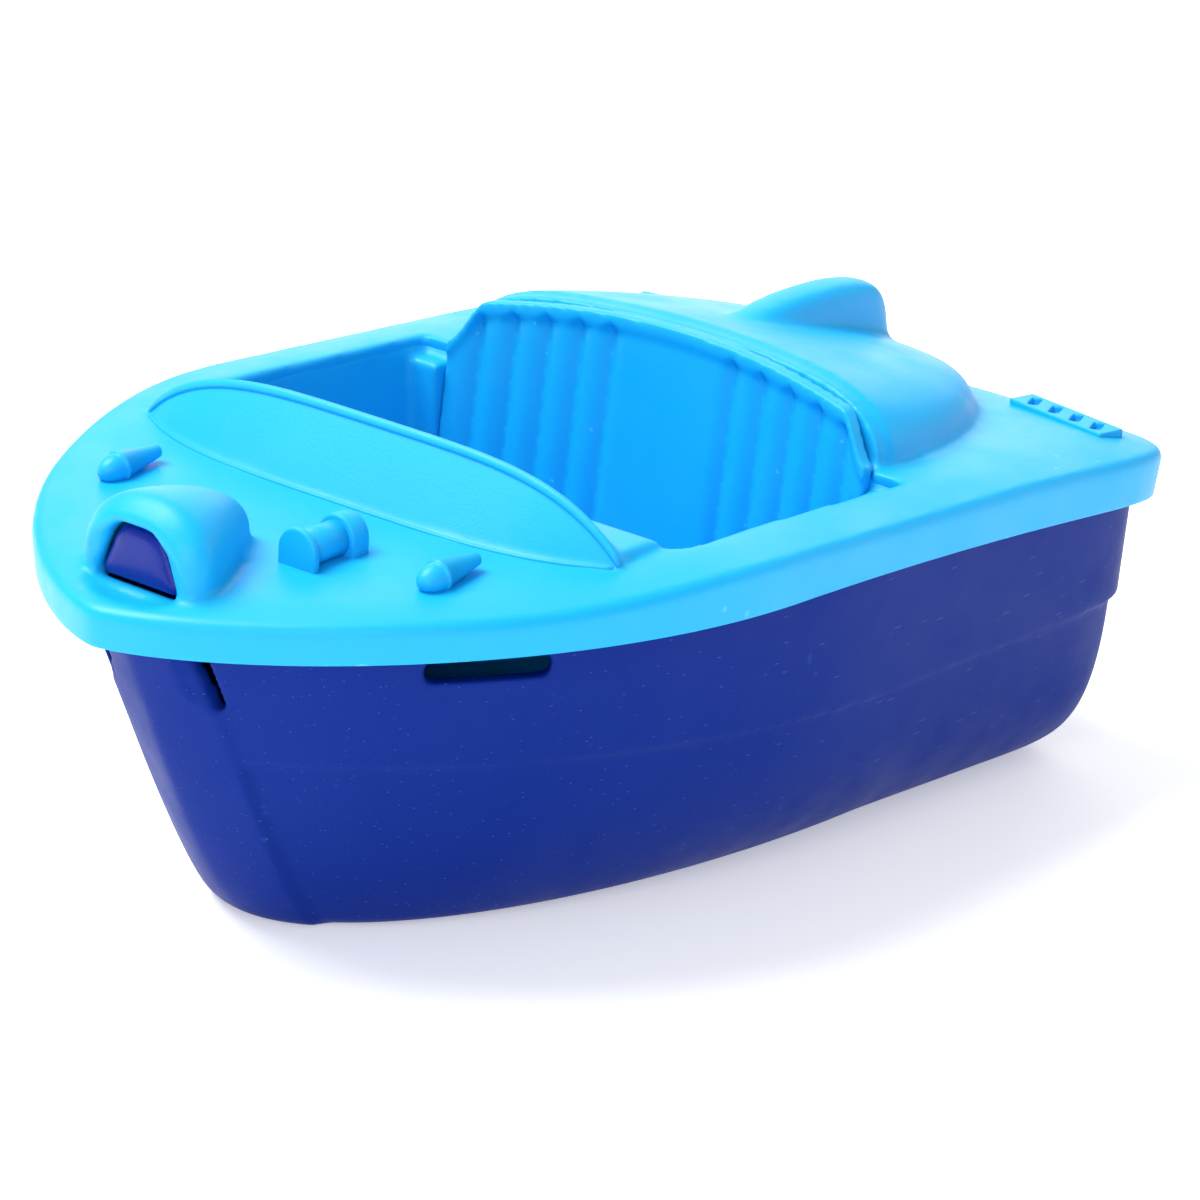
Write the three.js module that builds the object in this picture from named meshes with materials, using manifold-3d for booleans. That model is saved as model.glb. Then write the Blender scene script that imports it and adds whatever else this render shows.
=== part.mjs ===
// Toy speedboat for the bath or the sandpit: a dark-blue hull shell closed by a light-blue deck, with an
// open cockpit tub, a ribbed seat back and a dark-blue bow light in a housing on the foredeck.
// Millimetres. +X is the bow, +Y is port, +Z is up. The origin lies on the surface that the flat hull
// bottom stands on, in the middle of the boat's length and beam.
import * as THREE from "three";
import { mergeVertices } from "three/addons/utils/BufferGeometryUtils.js";
import Module from "manifold-3d";

const wasm = await Module();
wasm.setup();

// Driving dimensions
const LENGTH = 165;
const BEAM = 104;
const WALL = 2.2;
const GAP = 0.3;
const HALF_LENGTH = LENGTH / 2;
const HALF_BEAM = BEAM / 2;

// Plan outline: a pointed round bow forward of its shoulder, a nearly square stern aft of it
const BOW_SHOULDER_X = 8;
const BOW_FULLNESS = 0.7;
const STERN_SQUARENESS = 13;
const BOW_STEPS = 16;
const STERN_STEPS = 12;

// Sheer: the line where the deck's skirt meets the hull, highest a little forward of midships
const SHEER_PEAK_Z = 46.1;
const SHEER_PEAK_X = 28;
const SHEER_CURVE = 0.00053;

// Deck surface above the sheer line
const DECK_RISE = 7.9;
const FOREDECK_DROP = 1.7;
const FOREDECK_START_X = 15;
const FOREDECK_FULL_X = 50;
const SKIRT_DRAFT = 0.7;
const SHOULDER_RADIUS = 1.5;
const SHOULDER_TO_PLATEAU = 0.9;
const PLATEAU_INSET = 9;

// Hull: it plugs into the skirt, and its stem rakes from the flat bottom up to the bow
const SKIRT_OVERHANG = 2.8;
const TRANSOM_OVERHANG = 3.6;
const HULL_TOP_LIFT = 1.5;
const STEP_Z = 26.4;
const STEP_SLOPE = 0.008;
const STEP_DEPTH = 0.8;
const STEM_FOOT_X = 57.5;
const STEM_RAKE = 0.475;
const FOREFOOT_ROUND = 6;
const BILGE_INSET = 18.8;
const TRANSOM_ROUND = 2.2;
const TRANSOM_DRAFT = 0.05;
const SIDE_DRAFT = 0.03;
const HULL_SHOULDER_X = -8;
const BOTTOM_SHOULDER_X = -31;
const HULL_FULLNESS = 0.76;
const BOTTOM_FULLNESS = 0.51;
const BOTTOM_ROUND_FROM = 0.7;
const BOTTOM_SQUARENESS = 12;
const STERN_FULLNESS = 3;

// Stem panel: the nose of the hull pressed flat at the top, with edges that stand proud
const STEM_PANEL_HALF_WIDTH = 9.2;
const STEM_PANEL_PROUD = 0.5;
const STEM_FLATNESS = 0.45;

// Slots under the skirt: one long one on each bow quarter, and an upright one in a shallow flute at
// each edge of the stem panel
const LONG_SLOT = { x: 45.5, y: 32.5, z: 41.2, length: 16, height: 3, turn: 0.78 };
const BOW_SLOT = { x: 73, y: 8.8, z: 42, width: 1.8, height: 12.4 };
const SLOT_DEPTH = 18;
const FLUTE = { x: 74.9, y: 8.1, z: 42, radius: 2.3, height: 16, lean: Math.acos(0.92) };

// Cockpit: the opening in the deck and the tapering tub that hangs below it
const WELL_FRONT_X = 22.5;
const WELL_REAR_X = -26;
const WELL_HALF_WIDTH = 42.4;
const WELL_CORNER = 5;
const FLOOR_Z = 17;
const FLOOR_FRONT_X = 19.5;
const FLOOR_HALF_WIDTH = 38.5;
const FLOOR_CORNER = 14;
const TUB_WALL = 1.6;
const PILASTER_DEPTH = 3.4;
const PILASTER_DROP = 2.8;

// Seat back
const SEAT_X = -31.2;
const SEAT_TOP_Z = 62.5;
const SEAT_HALF_WIDTH = 37;
const SEAT_THICKNESS = 2.2;
const SEAT_RAKE = Math.tan(THREE.MathUtils.degToRad(5.5));
const SEAT_WRAP = 4.35;
const SEAT_ARCH = 4.8;
const ARCH_REFERENCE = 40;
const SEAT_CORNER = 5.5;
const CHANNELS_PER_SIDE = 5;
const CHANNEL_PITCH = 5.4;
const FIRST_CHANNEL_Y = 10.7;
const CHANNEL_DEPTH = 1.2;
const SEAT_RIM = 2.8;
const SEAT_FACETS = 72;

// Cowl and fin behind the seat
const COWL_LIP = 2.8;
const COWL_STEP = 0.5;
const COWL_LENGTH = 46;
const COWL_HALF_WIDTH = 37.4;
const COWL_CROWN = 0.26;
const COWL_TAIL_HEIGHT = 0.42;
const COWL_EDGE = 8;
const FIN = { frontX: -36, crestX: -62, heelX: -76, frontZ: 58, topZ: 63, heelZ: 54, footZ: 47 };
const FIN_THICKNESS = 7.2;

// Windscreen and dash
const SCREEN_BASE_X = 39;
const SCREEN_TOP_X = 30.8;
const SCREEN_HALF_WIDTH = 41.5;
const SCREEN_HEIGHT = 9.6;
const SCREEN_THICKNESS = 2.2;
const SCREEN_SWEEP = 8;
const DASH_HEIGHT = 1.1;
const DASH_HALF_WIDTH = 40;
const DASH_SETBACK = 1;
const DASH_THICKNESS = 4;

// Nacelle and bow light
const NACELLE_FRONT_X = 75.3;
const NACELLE_LENGTH = 21;
const NACELLE_HALF_WIDTH = 11;
const NACELLE_HEIGHT = 10.7;
const NACELLE_TAPER = 1.5;
const NACELLE_CROWN = 2.3;
const NACELLE_NOSE = { part: 0.2, narrowing: 0.25, lowering: 0.22 };
const NACELLE_SOLID_TAIL = 3;
const POCKET_DEPTH = 8;
const LIGHT_BOTTOM_Z = 50.4;
const LIGHT_TOP_Z = 58.1;
const LIGHT_HALF_WIDTH = 6.2;
const LIGHT_TOP_HALF_WIDTH = 3.6;
const LIGHT_FOOT_ROUND = 0.8;
const LIGHT_TOP_ROUND = 2.2;
const LIGHT_SETBACK = 0.7;
const LIGHT_CLEARANCE = 0.4;
const LIGHT_DEPTH = 6.6;
const SCOOP = { z: 51.6, length: 5.6, halfWidth: 8.8, depth: 2.2 };

// Deck fittings
const TORPEDO = { x: 49.8, y: 27.6, lift: 1.3, radius: 2.1, tipRadius: 0.8, tail: 7.2, dome: 3.3 };
const TORPEDO_TILT = 0.12;
const TORPEDO_RING = { radius: 2.4, width: 0.6 };
const CLEAT_Y = 11;
const CLEAT_FRONT_X = 57.3;
const CLEAT_REAR_X = 49.2;
const CLEAT_HALF_WIDTH = 3.1;
const CLEAT_SHOULDER = 2;
const CLEAT_FRONT_THICKNESS = 1.1;
const CLEAT_REAR_THICKNESS = 3;
const SPINDLE_RADIUS = 2.4;
const GRILLE_X = -74.5;
const GRILLE_Y = 35;
const GRILLE_TURN = -0.2;
const GRILLE_LIFT = 0.8;
const GRILLE_SIZE = [4.6, 18.5, 3];
const GRILLE_SLOT = [3.2, 1.5, 2];
const GRILLE_PITCH = 4.2;
const GRILLE_SLANT = 0.55;

const DECK_BLUE = new THREE.MeshStandardMaterial({ color: 0x6fd3fb, roughness: 0.5, metalness: 0 });
const HULL_BLUE = new THREE.MeshStandardMaterial({ color: 0x1e2f9e, roughness: 0.5, metalness: 0 });

const mirrorSides = [1, -1];
const lerp = THREE.MathUtils.lerp;
const smoothstep = THREE.MathUtils.smoothstep;
const point = (x, y, z) => new THREE.Vector3(x, y, z);

function sheerZ(x) {
  return SHEER_PEAK_Z - SHEER_CURVE * (x - SHEER_PEAK_X) ** 2;
}

function deckZ(x) {
  return sheerZ(x) + DECK_RISE - FOREDECK_DROP * smoothstep(x, FOREDECK_START_X, FOREDECK_FULL_X);
}

function stepZ(x) {
  return STEP_Z + STEP_SLOPE * x;
}

// Closed plan outline, counter-clockwise from the bow tip: a power of the sine gives the bow, a
// superellipse gives the stern with its rounded corners.
function planOutline({ bow, stern, half, shoulder, fullness, squareness }) {
  const port = [];
  for (let i = 0; i <= BOW_STEPS; i++) {
    const angle = (Math.PI / 2) * (i / BOW_STEPS);
    port.push([shoulder + (bow - shoulder) * Math.cos(angle), half * Math.sin(angle) ** (2 * fullness)]);
  }
  for (let i = 1; i <= STERN_STEPS; i++) {
    const angle = (Math.PI / 2) * (1 - i / STERN_STEPS);
    const power = 2 / squareness;
    port.push([
      shoulder - (shoulder - stern) * Math.cos(angle) ** power,
      half * Math.sin(angle) ** power,
    ]);
  }
  const starboard = port.slice(1, -1).reverse();
  return [...port, ...starboard.map(([x, y]) => [x, -y])];
}

function deckOutline(inset) {
  return planOutline({
    bow: HALF_LENGTH - inset,
    stern: -HALF_LENGTH + inset,
    half: HALF_BEAM - inset,
    shoulder: BOW_SHOULDER_X,
    fullness: BOW_FULLNESS,
    squareness: STERN_SQUARENESS,
  });
}

// A closed mesh through rings of equal length. A ring that collapses onto the centreline closes it.
function loft(rings) {
  const count = rings[0].length;
  const positions = rings.flat().flatMap((p) => [p.x, p.y, p.z]);
  const index = [];
  for (let r = 0; r + 1 < rings.length; r++) {
    for (let i = 0; i < count; i++) {
      const a = r * count + i;
      const b = r * count + ((i + 1) % count);
      index.push(a, b, b + count, a, b + count, a + count);
    }
  }
  const geometry = new THREE.BufferGeometry();
  geometry.setAttribute("position", new THREE.Float32BufferAttribute(positions, 3));
  geometry.setIndex(index);
  return solid(geometry);
}

// The ring pressed flat between its first half and its second: the cap of a slab or an arch
function flattened(ring) {
  return ring.map((p, i) => p.clone().add(ring[ring.length - 1 - i]).multiplyScalar(0.5));
}

function cappedLoft(rings) {
  return loft([flattened(rings[0]), ...rings, flattened(rings[rings.length - 1])]);
}

// The ring drawn in to the centreline: the cap of a plan outline
function centred(ring) {
  return ring.map((p) => point(p.x, 0, p.z));
}

function planLoft(rings) {
  return loft([centred(rings[0]), ...rings, centred(rings[rings.length - 1])]);
}

// A grid of quads between a front and a back surface, closed round its four edges
function slab(front, back, across, up) {
  const rings = [];
  for (let j = 0; j <= up; j++) {
    const ring = [];
    for (let i = 0; i <= across; i++) ring.push(front(i / across, j));
    for (let i = across; i >= 0; i--) ring.push(back(i / across, j));
    rings.push(ring);
  }
  return cappedLoft(rings);
}

function solid(geometry) {
  const bare = geometry.clone();
  bare.deleteAttribute("normal");
  bare.deleteAttribute("uv");
  const merged = mergeVertices(bare, 1e-4);
  const source = merged.index.array;
  const kept = [];
  for (let i = 0; i < source.length; i += 3) {
    const [a, b, c] = [source[i], source[i + 1], source[i + 2]];
    if (a !== b && b !== c && c !== a) kept.push(a, b, c);
  }
  const body = new wasm.Manifold(
    new wasm.Mesh({
      numProp: 3,
      vertProperties: new Float32Array(merged.attributes.position.array),
      triVerts: new Uint32Array(kept),
    }),
  );
  return body;
}

function placed(geometry, x, y, z, rotation = [0, 0, 0]) {
  const matrix = new THREE.Matrix4().makeRotationFromEuler(new THREE.Euler(...rotation));
  matrix.setPosition(x, y, z);
  return solid(geometry.clone().applyMatrix4(matrix));
}

function box(lowX, highX, lowY, highY, lowZ, highZ) {
  const geometry = new THREE.BoxGeometry(highX - lowX, highY - lowY, highZ - lowZ);
  return placed(geometry, (lowX + highX) / 2, (lowY + highY) / 2, (lowZ + highZ) / 2);
}

function extruded(shape, depth, curveSegments = 8) {
  return new THREE.ExtrudeGeometry(shape, { depth, bevelEnabled: false, curveSegments });
}

function sideBySide(make) {
  return mirrorSides.map(make).reduce((a, b) => a.add(b));
}

function mesh(name, body, material) {
  const data = body.getMesh();
  const geometry = new THREE.BufferGeometry();
  geometry.setAttribute("position", new THREE.Float32BufferAttribute(data.vertProperties, 3));
  geometry.setIndex(new THREE.Uint32BufferAttribute(data.triVerts, 1));
  geometry.computeVertexNormals();
  const result = new THREE.Mesh(geometry, material);
  result.name = name;
  return result;
}

// Hull: the side drops to a small step, then an elliptical bilge turns it under to the flat bottom.
function hullOutline(depth, bilge, inset) {
  const down = depth / SHEER_PEAK_Z;
  const under = Math.min(bilge / BOTTOM_ROUND_FROM, 1);
  return planOutline({
    bow: STEM_FOOT_X + STEM_RAKE * (SHEER_PEAK_Z - depth) - FOREFOOT_ROUND * bilge - inset,
    stern: -HALF_LENGTH + TRANSOM_OVERHANG + TRANSOM_DRAFT * depth + TRANSOM_ROUND * bilge + inset,
    half: HALF_BEAM - SKIRT_OVERHANG - SIDE_DRAFT * depth - BILGE_INSET * bilge - inset,
    shoulder: lerp(HULL_SHOULDER_X, BOTTOM_SHOULDER_X, down),
    fullness: lerp(HULL_FULLNESS, BOTTOM_FULLNESS, under),
    squareness: lerp(STERN_SQUARENESS, BOTTOM_SQUARENESS, down),
  });
}

// The outline's x on the port side of the bow at the stem panel's edge
function panelEdgeX(outline) {
  const after = outline.findIndex(([, y]) => y > STEM_PANEL_HALF_WIDTH);
  const [nearX, nearY] = outline[after - 1];
  const [farX, farY] = outline[after];
  return lerp(nearX, farX, (STEM_PANEL_HALF_WIDTH - nearY) / (farY - nearY));
}

function hullForm(inset, floorZ, topLift, stepDepth = STEP_DEPTH) {
  const bilgeSteps = 8;
  const rings = [];
  const addRing = (depth, bilge, extraInset, height) => {
    const outline = hullOutline(depth, bilge, inset + extraInset);
    const edgeX = panelEdgeX(outline);
    const flatness = STEM_FLATNESS * (1 - depth / SHEER_PEAK_Z);
    const fullness = STERN_FULLNESS * 4 * bilge * (1 - bilge);
    const shaped = outline.map(([x, y]) => {
      const stern = smoothstep(-x, HALF_LENGTH * 0.3, HALF_LENGTH * 0.9);
      const outward = Math.abs(y) > WALL ? Math.sign(y) * fullness * stern : 0;
      return [x > edgeX ? lerp(x, edgeX, flatness) : x, y + outward];
    });
    rings.push(shaped.map(([x, y]) => point(x, y, Math.max(height(x), floorZ))));
  };
  for (let k = bilgeSteps; k >= 0; k--) {
    const angle = (Math.PI / 2) * (k / bilgeSteps);
    const level = 1 - Math.sin(angle);
    const depth = SHEER_PEAK_Z - STEP_Z * level;
    addRing(depth, 1 - Math.cos(angle), stepDepth, (x) => stepZ(x) * level);
  }
  addRing(SHEER_PEAK_Z - STEP_Z, 0, 0, stepZ);
  addRing(0, 0, 0, (x) => sheerZ(x) + topLift);
  return planLoft(rings);
}

function hullShell() {
  const outer = hullForm(0, 0, HULL_TOP_LIFT);
  const hollow = hullForm(WALL, WALL, HULL_TOP_LIFT + WALL);
  const proud = hullForm(-STEM_PANEL_PROUD, 0, HULL_TOP_LIFT, 0);
  const band = box(0, HALF_LENGTH, -STEM_PANEL_HALF_WIDTH, STEM_PANEL_HALF_WIDTH, -1, HALF_LENGTH);
  const { length, height, turn } = LONG_SLOT;
  const longSlot = new THREE.BoxGeometry(length, SLOT_DEPTH, height);
  const bowSlot = new THREE.BoxGeometry(SLOT_DEPTH, BOW_SLOT.width, BOW_SLOT.height);
  const rod = new THREE.CylinderGeometry(FLUTE.radius, FLUTE.radius, FLUTE.height, 12);
  const slots = sideBySide((side) => {
    const long = placed(longSlot, LONG_SLOT.x, side * LONG_SLOT.y, LONG_SLOT.z, [0, 0, -side * turn]);
    const flute = placed(rod, FLUTE.x, side * FLUTE.y, FLUTE.z, [Math.PI / 2, 0, -FLUTE.lean]);
    return long.add(placed(bowSlot, BOW_SLOT.x, side * BOW_SLOT.y, BOW_SLOT.z)).add(flute);
  });
  const shell = outer.add(proud.intersect(band)).subtract(hollow).subtract(slots);
  return shell.subtract(tubForm(TUB_WALL + GAP));
}

// Deck plate: an upright skirt, a soft shoulder and a top that follows the sheer.
function deckForm(inset, drop, skirtFoot) {
  const arcSteps = 3;
  const rings = [];
  const addRing = (ringInset, height) => {
    const outline = deckOutline(inset + ringInset);
    rings.push(outline.map(([x, y]) => point(x, y, height(x))));
  };
  const edge = (x) => deckZ(x) - SHOULDER_TO_PLATEAU - drop;
  addRing(SKIRT_DRAFT, (x) => sheerZ(x) + skirtFoot);
  for (let k = 0; k <= arcSteps; k++) {
    const angle = (Math.PI / 2) * (k / arcSteps);
    addRing(
      SHOULDER_RADIUS * (1 - Math.cos(angle)),
      (x) => edge(x) - SHOULDER_RADIUS * (1 - Math.sin(angle)),
    );
  }
  addRing(PLATEAU_INSET, (x) => deckZ(x) - drop);
  return planLoft(rings);
}

// Half ring over the deck from starboard to port, and back along a line buried in the deck plate
function archRing(across, xAt, rise, half) {
  const foot = WALL + 1;
  const over = [];
  for (let i = 0; i <= across; i++) {
    const angle = Math.PI * (1 - i / across);
    const y = half * Math.cos(angle);
    over.push(point(xAt(y), y, deckZ(xAt(y)) + rise(Math.cos(angle), Math.sin(angle))));
  }
  const under = over.map((p) => point(p.x, p.y, deckZ(p.x) - foot)).reverse();
  return [...over, ...under];
}

// Cowl: half an ellipse in plan, arched like the seat's top edge and lower towards the stern
function seatBackX(y) {
  return SEAT_X + SEAT_WRAP * (y / ARCH_REFERENCE) ** 2;
}

// Inset 0 gives the outside, which starts with a slightly lower lip behind the seat's top edge.
function cowlForm(inset) {
  const stations = 9;
  const across = 20;
  const rings = [];
  const addRing = (aft, forward, lower) => {
    const half = (COWL_HALF_WIDTH - inset - lower) * Math.sqrt(1 - aft ** 2);
    const full = SEAT_TOP_Z - deckZ(SEAT_X) + COWL_STEP - inset - lower;
    const height = full * lerp(1, COWL_TAIL_HEIGHT, aft) * Math.sqrt(1 - aft ** COWL_EDGE);
    const xAt = (y) => seatBackX(y) + forward - COWL_LIP - (COWL_LENGTH - inset) * aft;
    const rise = (c) => height * (1 - COWL_CROWN * c ** 2) * Math.sqrt(1 - c ** COWL_EDGE);
    rings.push(archRing(across, xAt, rise, half));
  };
  if (inset === 0) {
    addRing(0, COWL_LIP, COWL_STEP);
    addRing(0, COWL_STEP, COWL_STEP);
  }
  for (let k = 0; k <= stations; k++) {
    addRing(Math.min(Math.sin((Math.PI / 2) * (k / stations)), 0.9995), 0, 0);
  }
  return cappedLoft(rings);
}

function fin() {
  const { frontX, crestX, heelX, frontZ, topZ, heelZ, footZ } = FIN;
  const profile = new THREE.Shape();
  profile.moveTo(frontX, frontZ);
  profile.bezierCurveTo(lerp(frontX, crestX, 0.3), topZ, lerp(frontX, crestX, 0.6), topZ, crestX, topZ);
  profile.bezierCurveTo(heelX + 1.5, topZ, heelX + 1, lerp(topZ, heelZ, 0.3), heelX, heelZ);
  profile.lineTo(heelX, footZ);
  profile.lineTo(frontX, footZ);
  profile.closePath();
  const geometry = extruded(profile, FIN_THICKNESS, 10);
  return placed(geometry, 0, FIN_THICKNESS / 2, 0, [Math.PI / 2, 0, 0]);
}

// Windscreen: a raked panel swept back to a point at each side
function screenBaseX(y) {
  return SCREEN_BASE_X - SCREEN_SWEEP * Math.abs(y / SCREEN_HALF_WIDTH) ** 4;
}

function screenPoint(u, up) {
  const y = lerp(-SCREEN_HALF_WIDTH, SCREEN_HALF_WIDTH, u);
  const side = Math.abs(y / SCREEN_HALF_WIDTH);
  const baseX = screenBaseX(y);
  const height = SCREEN_HEIGHT * Math.max(1 - side ** 4, 0) ** 0.8;
  const base = point(baseX, y, deckZ(baseX) - 1.5);
  const top = point(SCREEN_TOP_X, y, deckZ(SCREEN_TOP_X) + height - 0.2);
  return base.lerp(top, up);
}

// Where the windscreen's face stands at one height above its foot
function screenX(y, z) {
  const u = (y / SCREEN_HALF_WIDTH + 1) / 2;
  const foot = screenPoint(u, 0);
  const head = screenPoint(u, 1);
  return lerp(foot.x, head.x, THREE.MathUtils.clamp((z - foot.z) / (head.z - foot.z), 0, 1));
}

function windscreen() {
  const rows = 3;
  const rake = Math.atan2(SCREEN_BASE_X - SCREEN_TOP_X, SCREEN_HEIGHT);
  const inward = point(-Math.cos(rake), 0, -Math.sin(rake)).multiplyScalar(SCREEN_THICKNESS);
  const front = (u, j) => screenPoint(u, j / rows);
  return slab(front, (u, j) => front(u, j).add(inward), 28, rows);
}

// Dash: a low shelf between the windscreen's foot and the cockpit
function dash() {
  const top = deckZ(WELL_FRONT_X) + DASH_HEIGHT;
  const across = (u) => lerp(-DASH_HALF_WIDTH, DASH_HALF_WIDTH, u);
  const edge = (u, j, x) => point(x, across(u), top - DASH_THICKNESS * (1 - j));
  const front = (u, j) => edge(u, j, screenX(across(u), top) - DASH_SETBACK);
  return slab(front, (u, j) => edge(u, j, WELL_FRONT_X), 20, 1);
}

// Nacelle: a hump, drawn in at its flat front face, that tapers back to a point on the foredeck.
// Inset, as the hollow inside, it stops short so that the tail stays solid.
function nacelleForm(inset) {
  const stations = 10;
  const rings = [];
  for (let k = 0; k <= stations; k++) {
    const back = (k / stations) * 0.985;
    const nose = Math.max(1 - back / NACELLE_NOSE.part, 0) ** 2;
    const taper = (1 - back ** NACELLE_TAPER) * (1 - NACELLE_NOSE.narrowing * nose);
    const crown = Math.sqrt(1 - back ** NACELLE_CROWN) * (1 - NACELLE_NOSE.lowering * nose);
    const half = Math.max(NACELLE_HALF_WIDTH * taper - inset, 0.2);
    const height = Math.max(NACELLE_HEIGHT * crown - inset, 0.1);
    const x = NACELLE_FRONT_X - inset - (NACELLE_LENGTH - NACELLE_SOLID_TAIL * inset) * back;
    rings.push(archRing(14, () => x, (c, s) => height * s ** 0.65, half));
  }
  return cappedLoft(rings);
}

// The bow light's face: wide at its foot, narrow and round at its top
function lightShape(grow) {
  const half = LIGHT_HALF_WIDTH + grow;
  const topHalf = LIGHT_TOP_HALF_WIDTH + grow;
  const low = LIGHT_BOTTOM_Z - grow;
  const high = LIGHT_TOP_Z + grow;
  const shape = new THREE.Shape();
  shape.moveTo(-half + LIGHT_FOOT_ROUND, low);
  shape.lineTo(half - LIGHT_FOOT_ROUND, low);
  shape.quadraticCurveTo(half, low, half, low + LIGHT_FOOT_ROUND);
  shape.lineTo(topHalf, high - LIGHT_TOP_ROUND);
  shape.quadraticCurveTo(topHalf, high, topHalf - LIGHT_TOP_ROUND, high);
  shape.lineTo(-topHalf + LIGHT_TOP_ROUND, high);
  shape.quadraticCurveTo(-topHalf, high, -topHalf, high - LIGHT_TOP_ROUND);
  shape.lineTo(-half, low + LIGHT_FOOT_ROUND);
  shape.quadraticCurveTo(-half, low, -half + LIGHT_FOOT_ROUND, low);
  return shape;
}

function lightBlock(grow, frontX, depth) {
  const geometry = extruded(lightShape(grow), depth, 4);
  return placed(geometry, frontX - depth, 0, 0, [Math.PI / 2, Math.PI / 2, 0]);
}

// The hollow in the deck just ahead of the bow light
function scoop() {
  const ball = new THREE.SphereGeometry(1, 16, 8).scale(SCOOP.length, SCOOP.halfWidth, SCOOP.depth);
  const frontX = NACELLE_FRONT_X - LIGHT_SETBACK;
  const ahead = box(frontX, HALF_LENGTH, -SCOOP.halfWidth, SCOOP.halfWidth, 0, HALF_LENGTH);
  return placed(ball, frontX, 0, SCOOP.z).intersect(ahead);
}

// Torpedo-shaped marker light: a dome and a ring at its front, then a long tapered tail
function torpedo(side) {
  const { x, y, lift, radius, tipRadius, tail, dome } = TORPEDO;
  const profile = [[0, -tail], [tipRadius, tipRadius - tail], [radius, 0]];
  profile.push([TORPEDO_RING.radius, 0], [TORPEDO_RING.radius, TORPEDO_RING.width]);
  const domeSteps = 6;
  for (let k = 0; k <= domeSteps; k++) {
    const angle = (Math.PI / 2) * (k / domeSteps);
    profile.push([radius * Math.cos(angle), TORPEDO_RING.width + dome * Math.sin(angle)]);
  }
  const geometry = new THREE.LatheGeometry(profile.map(([r, h]) => new THREE.Vector2(r, h)), 16);
  return placed(geometry, x, side * y, deckZ(x) + lift, [0, TORPEDO_TILT, -Math.PI / 2]);
}

function cleatPlate(x, thickness) {
  const shape = new THREE.Shape();
  shape.moveTo(-CLEAT_HALF_WIDTH, -WALL);
  shape.lineTo(CLEAT_HALF_WIDTH, -WALL);
  shape.lineTo(CLEAT_HALF_WIDTH, CLEAT_SHOULDER);
  shape.absarc(0, CLEAT_SHOULDER, CLEAT_HALF_WIDTH, 0, Math.PI);
  shape.closePath();
  const geometry = extruded(shape, thickness, 6);
  return placed(geometry, x - thickness / 2, CLEAT_Y, deckZ(x), [Math.PI / 2, Math.PI / 2, 0]);
}

function cleat() {
  const length = CLEAT_FRONT_X - CLEAT_REAR_X;
  const spindle = new THREE.CylinderGeometry(SPINDLE_RADIUS, SPINDLE_RADIUS, length, 12);
  const middle = (CLEAT_FRONT_X + CLEAT_REAR_X) / 2;
  return cleatPlate(CLEAT_FRONT_X, CLEAT_FRONT_THICKNESS)
    .add(cleatPlate(CLEAT_REAR_X, CLEAT_REAR_THICKNESS))
    .add(placed(spindle, middle, CLEAT_Y, deckZ(middle) + CLEAT_SHOULDER, [0, 0, Math.PI / 2]));
}

function grille(side) {
  const turn = side * GRILLE_TURN;
  const top = deckZ(GRILLE_X) + GRILLE_LIFT;
  const frame = new THREE.BoxGeometry(...GRILLE_SIZE);
  const body = placed(frame, GRILLE_X, side * GRILLE_Y, top - GRILLE_SIZE[2] / 2, [0, 0, turn]);
  const slots = [-1.5, -0.5, 0.5, 1.5].map((k) => {
    const along = k * GRILLE_PITCH;
    const x = GRILLE_X - Math.sin(turn) * along;
    const y = side * GRILLE_Y + Math.cos(turn) * along;
    return placed(new THREE.BoxGeometry(...GRILLE_SLOT), x, y, top, [0, 0, turn + side * GRILLE_SLANT]);
  });
  return slots.reduce((rest, slot) => rest.subtract(slot), body);
}

// Rounded plan of the cockpit at one level: round corners at the front, square ones at the rear
function wellRing(front, rear, half, corner, z) {
  const cornerSteps = 5;
  const port = [point(front, 0, z)];
  for (let k = 0; k <= cornerSteps; k++) {
    const angle = (Math.PI / 2) * (k / cornerSteps);
    port.push(point(front - corner * (1 - Math.cos(angle)), half - corner * (1 - Math.sin(angle)), z));
  }
  port.push(point(rear, half, z), point(rear, 0, z));
  const starboard = port.slice(1, -1).reverse();
  return [...port, ...starboard.map((p) => point(p.x, -p.y, z))];
}

// The tub's form: it tapers from the opening in the deck down to the floor, and holds the seat's bay.
function tubForm(grow) {
  const floor = FLOOR_Z - grow;
  const top = HALF_LENGTH;
  const rimZ = deckZ(0);
  const rear = WELL_REAR_X;
  const main = planLoft([
    wellRing(FLOOR_FRONT_X + grow, rear, FLOOR_HALF_WIDTH + grow, FLOOR_CORNER, floor),
    wellRing(WELL_FRONT_X + grow, rear, WELL_HALF_WIDTH + grow, WELL_CORNER, rimZ),
    wellRing(WELL_FRONT_X + grow, rear, WELL_HALF_WIDTH + grow, WELL_CORNER, top),
  ]);
  const half = SEAT_HALF_WIDTH + GAP + grow;
  return main.add(box(SEAT_X - GAP - grow, rear + 1, -half, half, floor, top));
}

// Opening of the cockpit in the deck, with the bay that the seat back fills
function wellCutter() {
  const low = sheerZ(-HALF_LENGTH) - WALL;
  const high = HALF_LENGTH;
  const ring = (z) => wellRing(WELL_FRONT_X, WELL_REAR_X, WELL_HALF_WIDTH, WELL_CORNER, z);
  const half = SEAT_HALF_WIDTH + GAP;
  const bayEdge = (u, j, xAt) => {
    const y = lerp(-half, half, u);
    return point(xAt(y), y, lerp(low, high, j));
  };
  const bay = slab(
    (u, j) => bayEdge(u, j, () => WELL_REAR_X + 1),
    (u, j) => bayEdge(u, j, (y) => seatBackX(y) + (SEAT_TOP_Z - seatTop(y)) * SEAT_RAKE - GAP),
    16,
    1,
  );
  return planLoft([ring(low), ring(high)]).add(bay);
}

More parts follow.
